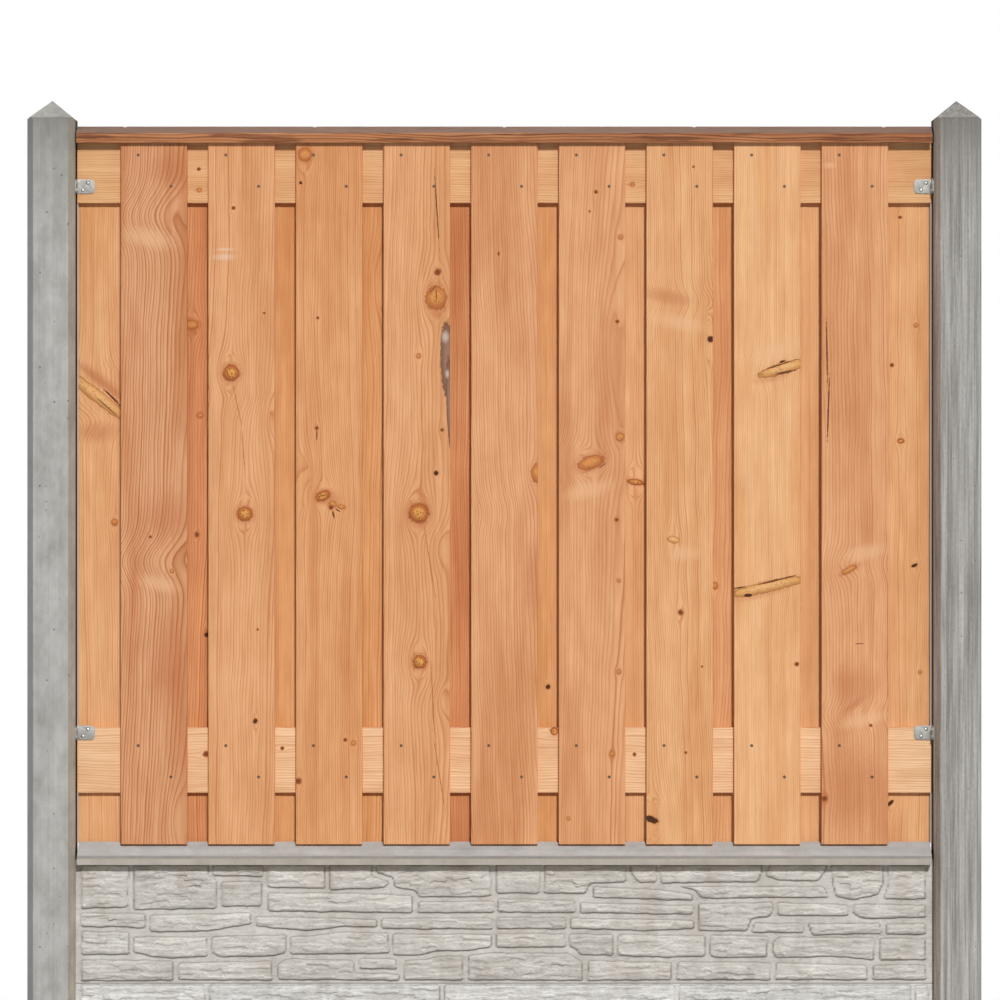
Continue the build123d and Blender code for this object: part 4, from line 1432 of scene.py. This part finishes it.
@dataclass
class TimberPanel:
    """The panel: front and back boards, rails and cap, each sawn its own way."""

    front: tuple[Plank, ...] = (
        Plank(Tone.BRICK, (155, 50), 5.6, 0.034, 14, 1.3, (
            Mark(70, 1322, 150, Form.BEND, reach=0.36, sweep=40),
            Mark(90, 596, 150, Form.BEND, reach=0.3, sweep=34),
            Mark(60, 1275, 62, Form.FIGURE, stretch=0.4, tilt=-12),
            Mark(80, 548, 48, Form.FIGURE, stretch=0.4, tilt=-15),
            Mark(110, 1420, 60, Form.FLUSH, stretch=0.7),
            Mark(100, 690, 60, Form.FLUSH, stretch=1.1),
            Mark(100, 380, 50, Form.FLUSH, stretch=2.0),
            Mark(63, 647, 3, Form.PIN),
            Mark(108, 575, 4, Form.YOLK),
            Mark(146, 56, 21, Form.BEND, reach=2.0, pull=1.4),
        )),
        Plank(Tone.PALE, (190, 75), 4.8, 0.018, 14, 0.95, (
            Mark(36, 1252, 24, Form.CHALK, stretch=0.16),
            Mark(33, 1236, 27, Form.CHALK, stretch=0.3),
            Mark(53, 1339, 4, Form.PIN),
            Mark(118, 1118, 2.4, Form.PIN, reach=4, pull=2),
            Mark(48, 992, 16, Form.SOUND, reach=2.2, tilt=-20),
            Mark(60, 945, 60, Form.BEND, reach=0.5, sweep=-9),
            Mark(61, 925, 0.8, Form.RESIN, stretch=60, tilt=12),
            Mark(74, 828, 0.8, Form.RESIN, stretch=62, tilt=4),
            Mark(77, 695, 15, Form.SOUND, reach=2.2, tilt=-20),
            Mark(150, 900, 18, Form.BEND, reach=2.6, pull=1.2),
            Mark(99, 259, 5, Form.BLACK, reach=3),
            Mark(104, 452, 2.2, Form.PIN),
        )),
        Plank(Tone.SALMON, (-300, 50), 4.4, 0.004, 9, 1.0, (
            Mark(19, 1451, 14, Form.YOLK, reach=2.4),
            Mark(10, 1392, 3.2, Form.BLACK),
            Mark(46, 1108, 3, Form.PIN),
            Mark(44, 876, 4, Form.PIN),
            Mark(44, 862, 1.2, Form.SPLIT, stretch=9),
            Mark(2, 760, 26, Form.BEND, reach=2.2),
            Mark(70, 726, 30, Form.FLUSH, stretch=0.7, tilt=-25),
            Mark(57, 733, 15, Form.SOUND, stretch=0.66, tilt=22, reach=2.0),
            Mark(57, 734, 9, Form.SPLIT, stretch=0.12, tilt=14),
            Mark(78, 716, 8, Form.YOLK, stretch=0.8, tilt=-25, pull=0.5),
            Mark(74, 709, 5, Form.PIN, tilt=-25, pull=0.5),
            Mark(96, 710, 8, Form.YOLK, stretch=0.55, tilt=-10, pull=0.5),
            Mark(88, 703, 6, Form.SPLIT, stretch=0.2, tilt=-30),
            Mark(79, 694, 2, Form.SPLIT, stretch=3.5, tilt=12),
            Mark(104, 220, 4, Form.PIN),
            Mark(121, 213, 5, Form.YOLK),
            Mark(5, 133, 6, Form.PIN),
        )),
        Plank(Tone.PALE, (175, 80), 4.8, 0.012, 15, 1.0, (
            Mark(111, 1150, 21, Form.YOLK, reach=1.9, stretch=1.15),
            Mark(111, 1156, 0.9, Form.SPLIT, stretch=13, tilt=2),
            Mark(104, 1168, 0.9, Form.SPLIT, stretch=14, tilt=-40),
            Mark(110, 1116, 18, Form.FLUSH, stretch=0.6, tilt=-35),
            Mark(114, 1204, 7, Form.PIN),
            Mark(112, 1340, 1.1, Form.SPLIT, stretch=70, tilt=3.5),
            Mark(138, 1012, 17, Form.BARK, stretch=4.9, tilt=3, pull=0.3),
            Mark(140, 925, 7, Form.BARK, stretch=14, tilt=2, pull=0),
            Mark(130, 1068, 9, Form.FROST, stretch=1.6),
            Mark(134, 990, 5, Form.FROST, stretch=2.0),
            Mark(74, 1028, 5, Form.YOLK, reach=2.5),
            Mark(123, 872, 4, Form.PIN),
            Mark(111, 781, 5, Form.BLACK, pull=0.6),
            Mark(74, 697, 20, Form.SOUND, reach=2.0, tilt=-20),
            Mark(146, 622, 22, Form.BEND, reach=1.6, pull=1.2),
            Mark(76, 384, 14, Form.SOUND, reach=2.4, tilt=-20),
            Mark(95, 340, 50, Form.BEND, reach=0.7, sweep=-10),
            Mark(148, 305, 22, Form.BEND, reach=1.6, pull=1.2),
            Mark(98, 590, 0.9, Form.RESIN, stretch=90, tilt=9),
            Mark(104, 300, 1.0, Form.RESIN, stretch=85, tilt=3),
            Mark(117, 150, 1.0, Form.RESIN, stretch=80, tilt=9),
        )),
        Plank(Tone.ROSY, (178, 60), 4.6, -0.03, 14, 1.05, (
            Mark(58, 1243, 2.2, Form.PIN, stretch=2),
            Mark(140, 782, 12, Form.YOLK, stretch=1.6, reach=2.6),
            Mark(136, 560, 30, Form.FLUSH, stretch=3.0),
            Mark(30, 700, 60, Form.BEND, reach=0.6, sweep=-9),
        )),
        Plank(Tone.ROSY, (165, 85), 4.6, 0.02, 11, 0.95, (
            Mark(78, 1373, 4, Form.PIN),
            Mark(65, 1332, 2.2, Form.PIN),
            Mark(130, 1278, 5, Form.YOLK, reach=3.4, pull=1.3),
            Mark(150, 1060, 34, Form.BEND, reach=4.0),
            Mark(123, 1100, 4, Form.PIN, reach=3),
            Mark(129, 857, 9, Form.YOLK),
            Mark(30, 800, 70, Form.BEND, reach=0.4, sweep=14),
            Mark(67, 803, 27, Form.YOLK, stretch=0.5, tilt=18, reach=1.0),
            Mark(92, 797, 9, Form.SPLIT, stretch=0.12, tilt=38),
            Mark(60, 745, 60, Form.FIGURE, stretch=0.35, tilt=15),
            Mark(122, 683, 4, Form.PIN),
            Mark(126, 555, 4, Form.YOLK, reach=4),
            Mark(126, 363, 5, Form.YOLK),
            Mark(112, 190, 5, Form.YOLK),
            Mark(20, 54, 4, Form.YOLK),
        )),
        Plank(Tone.APRICOT, (-240, 30), 4.5, 0.012, 13, 1.25, (
            Mark(99, 1426, 2.2, Form.PIN),
            Mark(30, 1140, 130, Form.BEND, reach=0.22, sweep=-17),
            Mark(45, 1152, 62, Form.FLUSH, stretch=0.3, tilt=-12),
            Mark(70, 1098, 66, Form.FIGURE, stretch=0.3, tilt=-12),
            Mark(135, 1063, 6.5, Form.BLACK, reach=6, pull=1.6),
            Mark(57, 641, 12, Form.SPIKE, stretch=0.62, tilt=-14, reach=2.2),
            Mark(80, 612, 40, Form.FIGURE, stretch=0.5),
            Mark(72, 488, 6, Form.PIN, reach=3),
            Mark(117, 374, 2.4, Form.PIN),
            Mark(83, 193, 3, Form.PIN),
            Mark(11, 52, 14, Form.BLACK, stretch=0.5, tilt=-22, reach=2.0, pull=2.4),
        )),
        Plank(Tone.HONEY, (-500, 40), 3.9, 0.002, 4, 1.0, (
            Mark(92, 1035, 60, Form.FIGURE, stretch=0.4, tilt=16),
            Mark(30, 985, 70, Form.BEND, reach=0.4, sweep=7),
            Mark(80, 985, 46, Form.FLUSH, stretch=0.3, tilt=16),
            Mark(104, 1002, 52, Form.SPIKE, stretch=0.22, tilt=16, reach=0.4, pull=0.4),
            Mark(96, 1009, 34, Form.SPLIT, stretch=0.04, tilt=18),
            Mark(102, 1016, 6, Form.BLACK, stretch=0.4, tilt=20, pull=0),
            Mark(106, 993, 22, Form.SPLIT, stretch=0.1, tilt=12),
            Mark(60, 530, 80, Form.FLUSH, stretch=0.16, tilt=13),
            Mark(70, 542, 80, Form.SPIKE, stretch=0.14, tilt=13, reach=0.3, pull=0.3),
            Mark(30, 524, 9, Form.BLACK, stretch=0.4, tilt=4, pull=0),
            Mark(12, 540, 14, Form.BLACK, stretch=0.1, tilt=10, pull=0),
            Mark(90, 556, 44, Form.SPLIT, stretch=0.035, tilt=14),
            Mark(132, 379, 5, Form.PIN),
        )),
        Plank(Tone.ROSY, (-60, 90), 5.0, 0.01, 13, 1.0, (
            Mark(16, 1429, 16, Form.FIGURE, stretch=0.5),
            Mark(11, 1040, 1.5, Form.SPLIT, stretch=40, tilt=1),
            Mark(14, 915, 1.5, Form.SPLIT, stretch=45, tilt=-2),
            Mark(90, 613, 55, Form.FIGURE, stretch=0.35, tilt=12),
            Mark(60, 590, 90, Form.BEND, reach=0.3, sweep=12),
            Mark(58, 578, 18, Form.YOLK, stretch=0.32, tilt=28, pull=0.4),
            Mark(80, 422, 8, Form.SPLIT, stretch=0.12),
            Mark(70, 330, 60, Form.FLUSH, stretch=0.8),
            Mark(66, 292, 34, Form.FLUSH, stretch=0.28, tilt=38),
            Mark(50, 272, 100, Form.BEND, reach=0.25, sweep=16),
            Mark(90, 262, 60, Form.FIGURE, stretch=0.28, tilt=14),
            Mark(70, 110, 110, Form.FLUSH, stretch=1.0),
            Mark(103, 250, 3, Form.PIN),
            Mark(6, 96, 6, Form.PIN),
        )),
    )
    back: tuple[Plank, ...] = (
        Plank(Tone.APRICOT, (-180, 70), 4.8, 0.012, 12, 1.0, (
            Mark(50, 976, 80, Form.FLUSH, stretch=0.2, tilt=-38),
            Mark(50, 972, 80, Form.FLUSH, stretch=0.12, tilt=-38),
            Mark(38, 945, 96, Form.SPIKE, stretch=0.13, tilt=-38, reach=0.6, pull=0.8),
            Mark(76, 936, 26, Form.SPLIT, stretch=0.06, tilt=-44),
            Mark(70, 944, 24, Form.SPLIT, stretch=0.06, tilt=-42),
            Mark(60, 922, 30, Form.SPLIT, stretch=0.035, tilt=-41),
            Mark(30, 890, 60, Form.BEND, reach=0.5, sweep=-20),
            Mark(40, 868, 50, Form.FLUSH, stretch=0.5),
            Mark(77, 677, 7, Form.YOLK, reach=2.6),
        )),
        Plank(Tone.RUSSET, (150, 60), 4.6, 0.02, 16, 1.1, (
            Mark(56, 1094, 14, Form.YOLK, stretch=0.7),
            Mark(73, 903, 6, Form.YOLK),
            Mark(67, 651, 5, Form.PIN),
            Mark(87, 440, 5, Form.BLACK, reach=4),
        )),
        Plank(Tone.AMBER, (-480, 40), 4.4, 0.002, 4, 0.8),
        Plank(Tone.AMBER, (160, 60), 5.2, 0.01, 14, 1.0, (Mark(100, 1180, 22, Form.BEND, reach=3),)),
        Plank(Tone.RUSSET, (-300, 40), 5.0, 0.01, 12, 1.2),
        Plank(Tone.AMBER, (-460, 40), 4.6, 0.002, 4, 0.8, (Mark(70, 330, 5, Form.BLACK, reach=3),)),
        Plank(Tone.APRICOT, (-380, 40), 4.6, 0.002, 5, 0.9, (
            Mark(70, 762, 17, Form.SOUND, stretch=0.35, tilt=-8),
            Mark(74, 1368, 4, Form.PIN),
        )),
        Plank(Tone.SALMON, (130, 60), 5.0, 0.02, 18, 0.75, (Mark(52, 543, 7, Form.YOLK),)),
        Plank(Tone.APRICOT, (-520, 40), 4.2, 0.002, 4, 0.8),
        Plank(Tone.APRICOT, (-260, 40), 4.8, 0.004, 8, 0.9, (
            Mark(75, 1321, 4, Form.PIN),
            Mark(109, 1093, 5, Form.YOLK),
            Mark(58, 1009, 4, Form.PIN),
            Mark(77, 849, 7, Form.SOUND, stretch=0.7),
            Mark(105, 586, 8, Form.BLACK, stretch=0.4, tilt=25),
            Mark(117, 361, 4, Form.YOLK),
            Mark(54, 84, 9, Form.BLACK, stretch=0.45, tilt=40),
        )),
    )
    # The top rail wears a darker straw: painted shade under the cap
    rail_top: Plank = Plank(Tone.WHEAT, (-260, 50), 5.2, 0.006, 13, 1.1, (
        Mark(72, 256, 4, Form.PIN),
        Mark(28, 257, 5, Form.YOLK),
        Mark(110, 985, 24, Form.FIGURE),
        Mark(40, 1170, 5, Form.YOLK),
    ))
    rail_bottom: Plank = Plank(Tone.STRAW, (-300, 60), 5.8, 0.008, 16, 1.1, (
        Mark(82, 271, 6, Form.PIN),
        Mark(94, 432, 4, Form.PIN),
        Mark(130, 1005, 8, Form.SOUND),
        Mark(81, 1174, 4, Form.PIN),
    ))
    cap: Plank = Plank(Tone.CAP, (-140, 60), 6.5, 0.01, 18, 1.5)
    back_seed: int = 20
    rail_seed: int = 51
    # Radius of the painted shadow round each board screw, and how far above the screw it is set
    bore_shadow_radius: float = 3.1
    bore_shadow_rise: float = 0.5

    def build(self) -> None:
        """Dress every board, both rails and the cap."""
        heads = [(low + high) / 2 for low, high in islands("front_board_screws")]
        for number, plank in enumerate(self.front, start=1):
            low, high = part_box(f"front_board_{number}")
            # A dark ring round each screw head, set a little high: painted shadow in the countersink
            bore_shadows = tuple(
                Mark((at.x - low.x) / MM, (at.z - low.z) / MM + self.bore_shadow_rise, self.bore_shadow_radius, Form.BORE)
                for at in heads
                if low.x < at.x < high.x
            )
            self.dress(f"front_board_{number}", replace(plank, marks=plank.marks + bore_shadows), number)
        for number, plank in enumerate(self.back, start=1):
            self.dress(f"back_board_{number}", plank, number + self.back_seed)
        lying = {"rail_top": self.rail_top, "rail_bottom": self.rail_bottom, "cap_rail": self.cap}
        for seed, (node, plank) in enumerate(lying.items(), start=self.rail_seed):
            self.dress(node, plank, seed, lengthwise_x=True, weathered=node == "cap_rail")

    def dress(self, node: str, plank: Plank, seed: int, **how) -> None:
        """Dress one piece of timber, with its pattern set out from its lower left front corner.

        Args:
            node: The CAD node.
            plank: How the piece was sawn.
            seed: Moves the pattern, so that like pieces differ.
            **how: More fields of the finish.
        """
        corner = tuple(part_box(node)[0])
        how |= {"shine": 0.15, "plank": plank, "corner": corner, "seed": seed}
        dress_node(node, DouglasFir(f"douglas fir {node}", 0.62, **how))


@dataclass
class Concrete:
    """Posts, coping and stone-faced boards."""

    left: Finish = CastConcrete(
        "cast concrete left post",
        0.85,
        shine=0.0,
        streak=0.35,
        blotch=0.55,
        pinholes=1.4,
        # Strong grey painted shade on the outer chamfer
        outer_shade=0.68,
        grime_above=2.1,
        panel_side=1,
        eave=POST_EAVE,
    )
    right: Finish = CastConcrete(
        "cast concrete right post",
        0.85,
        paste="#a29f9b",
        dark="#86837e",
        light="#b3b1ad",
        shine=0.0,
        mottle_mm=(11, 11, 210),
        streak_mm=(2.6, 2.6, 120),
        stripe_mm=(7, 7, 1400),
        blotch_mm=(5, 5, 11),
        streak=1.25,
        blotch=0.55,
        grime_above=2.1,
        panel_side=-1,
        eave=POST_EAVE,
    )
    coping: Finish = CastConcrete(
        "cast concrete coping",
        0.85,
        shine=0.05,
        blotch=0.25,
        paste="#c4c4c2",
        dark="#b9b8b5",
        light="#cdcdcb",
        streak_mm=(260, 5, 5),
        stripe_mm=(600, 20, 20),
        streak=0.25,
        pinholes=0.6,
        arris=COPING_ARRIS,
    )
    upper: Finish = CastConcrete(
        "cast rubble stone",
        0.88,
        shine=0.05,
        blotch=0.3,
        paste="#d2cdc6",
        dark="#c4bdb5",
        light="#dbd8d2",
        streak_mm=(34, 6, 4.5),
        stripe_mm=(90, 20, 20),
        streak=0.32,
        pinholes=0.5,
        relief_attributes=True,
        cleft=1.3,
    )
    lower: Finish = CastConcrete(
        "cast coursed stone",
        0.88,
        shine=0.05,
        blotch=0.6,
        paste="#dcdad6",
        dark="#cfccc7",
        light="#e3e1de",
        streak_mm=(20, 6, 6),
        stripe_mm=(90, 20, 20),
        streak=0.35,
        pinholes=0.5,
        relief_attributes=True,
        cleft=1.6,
    )

    def build(self) -> None:
        """Dress the posts and the coping, and model the stone faces."""
        dress_node("post_left", self.left)
        dress_node("post_right", self.right)
        dress_node("base_coping", self.coping)
        StoneBoard("base_board_upper", "concrete_board_upper", "rubble_board", self.upper, 4).build()
        StoneBoard("base_board_lower", "concrete_board_lower", "coursed_board", self.lower, 9).build()


@dataclass
class Studio:
    """Pale floor, soft light from the front and the photograph's camera."""

    sun: float = 2.37
    sun_softness: float = 5.0
    sun_elevation: float = 25.0
    sun_turn: float = 8.0
    fill: float = 1.5
    fill_softness: float = 12.0
    fill_elevation: float = 22.0
    side: float = 0.8
    side_elevation: float = 10.0
    sky: float = 0.16
    floor_colour: str = "#cfcfcd"
    floor_radius: float = 30.0
    fade: tuple[float, float] = (1.5, 2.15)

    def build(self) -> None:
        """Set the floor, the world, the lamps and the camera."""
        self.lay_floor()
        self.light_world()
        self.hang_sun("key light", self.sun, self.sun_softness, self.sun_elevation, self.sun_turn)
        self.hang_sun("fill light", self.fill, self.fill_softness, self.fill_elevation, 180)
        for name, turn in (("right light", 90), ("left light", -90)):
            self.hang_sun(name, self.side, self.fill_softness, self.side_elevation, turn)
        self.set_camera()

    def seen(self, tree: Tree) -> Socket:
        """Tell rays that show the background from rays that light the object.

        Args:
            tree: The node tree of the floor or the world.

        Returns:
            1 for camera, glossy and transmission rays, and otherwise 0.
        """
        path = add_node(tree, "LightPath", {}).node
        first = add_node(
            tree,
            "Math",
            {0: path.outputs["Is Camera Ray"], 1: path.outputs["Is Glossy Ray"]},
            operation="MAXIMUM",
        )
        return add_node(
            tree, "Math", {0: first, 1: path.outputs["Is Transmission Ray"]}, operation="MAXIMUM"
        )

    def lay_floor(self) -> None:
        """Lay a pale floor that keeps the shadow near the object and fades to white."""
        deselect()
        bpy.ops.mesh.primitive_circle_add(vertices=96, radius=self.floor_radius, fill_type="NGON")
        floor = bpy.context.object
        floor.name = "studio_floor"
        material = bpy.data.materials.new("studio floor")
        material.use_nodes = True
        tree = material.node_tree
        tree.nodes.clear()
        place = add_node(tree, "TexCoord", {}, out="Object")
        away = add_node(tree, "VectorMath", {0: place}, out="Value", operation="LENGTH")
        far = add_node(
            tree,
            "MapRange",
            {0: away, 1: self.fade[0], 2: self.fade[1], 3: 0.0, 4: 1.0},
            interpolation_type="SMOOTHSTEP",
        )
        matte = add_node(tree, "BsdfDiffuse", {"Color": linear(self.floor_colour)})
        white = add_node(tree, "Emission", {"Color": (1, 1, 1, 1), "Strength": 1.0})
        share = add_node(tree, "Math", {0: far, 1: self.seen(tree)}, operation="MULTIPLY")
        mixed = add_node(tree, "MixShader", {0: share, 1: matte, 2: white})
        add_node(tree, "OutputMaterial", {"Surface": mixed}, out=None)
        floor.data.materials.append(material)

    def light_world(self) -> None:
        """Give the world a plain soft light and a white background."""
        world = bpy.data.worlds.new("studio")
        bpy.context.scene.world = world
        world.use_nodes = True
        tree = world.node_tree
        tree.nodes.clear()
        soft = add_node(tree, "Background", {"Color": (1, 1, 1, 1), "Strength": self.sky})
        white = add_node(tree, "Background", {"Color": (1, 1, 1, 1), "Strength": 1.0})
        mixed = add_node(tree, "MixShader", {0: self.seen(tree), 1: soft, 2: white})
        add_node(tree, "OutputWorld", {"Surface": mixed}, out=None)

    def hang_sun(self, name: str, strength: float, softness: float, elevation: float, turn: float) -> None:
        """Hang a sun lamp.

        Args:
            name: The lamp's name.
            strength: Its strength.
            softness: Its width in degrees.
            elevation: Its height in degrees.
            turn: Degrees that it stands to the right of the front.
        """
        lamp = bpy.data.lights.new(name, "SUN")
        lamp.energy = strength
        lamp.angle = math.radians(softness)
        holder = bpy.data.objects.new(name, lamp)
        bpy.context.scene.collection.objects.link(holder)
        holder.rotation_euler = (math.radians(90 - elevation), 0, math.radians(turn))

    def set_camera(self) -> None:
        """Set the camera where the photograph was taken from."""
        lens = bpy.data.cameras.new("camera")
        lens.sensor_width = SENSOR_MM
        lens.lens = SENSOR_MM * FOCAL_PX / VIEW_WIDTH_PX
        lens.shift_x = (VIEW_WIDTH_PX / 2 - MIDDLE_COLUMN) / VIEW_WIDTH_PX
        lens.shift_y = (EYE_ROW - VIEW_WIDTH_PX / 2) / VIEW_WIDTH_PX
        lens.clip_end = 200
        camera = bpy.data.objects.new("camera", lens)
        bpy.context.scene.collection.objects.link(camera)
        camera.location = (0, -EYE_DISTANCE, EYE_HEIGHT)
        camera.rotation_euler = (math.pi / 2, 0, 0)
        bpy.context.scene.camera = camera


def main() -> None:
    """Build the bay's looks in order."""
    logging.basicConfig(level=logging.INFO, format="%(message)s")
    bpy.context.scene.view_settings.view_transform = "Standard"
    Studio().build()
    TimberPanel().build()
    Concrete().build()
    dress_node("wall_plugs", MouldedNylon("moulded nylon plug", 0.5))
    Brackets().build()
    Fasteners().build()


if __name__ == "__main__":
    main()
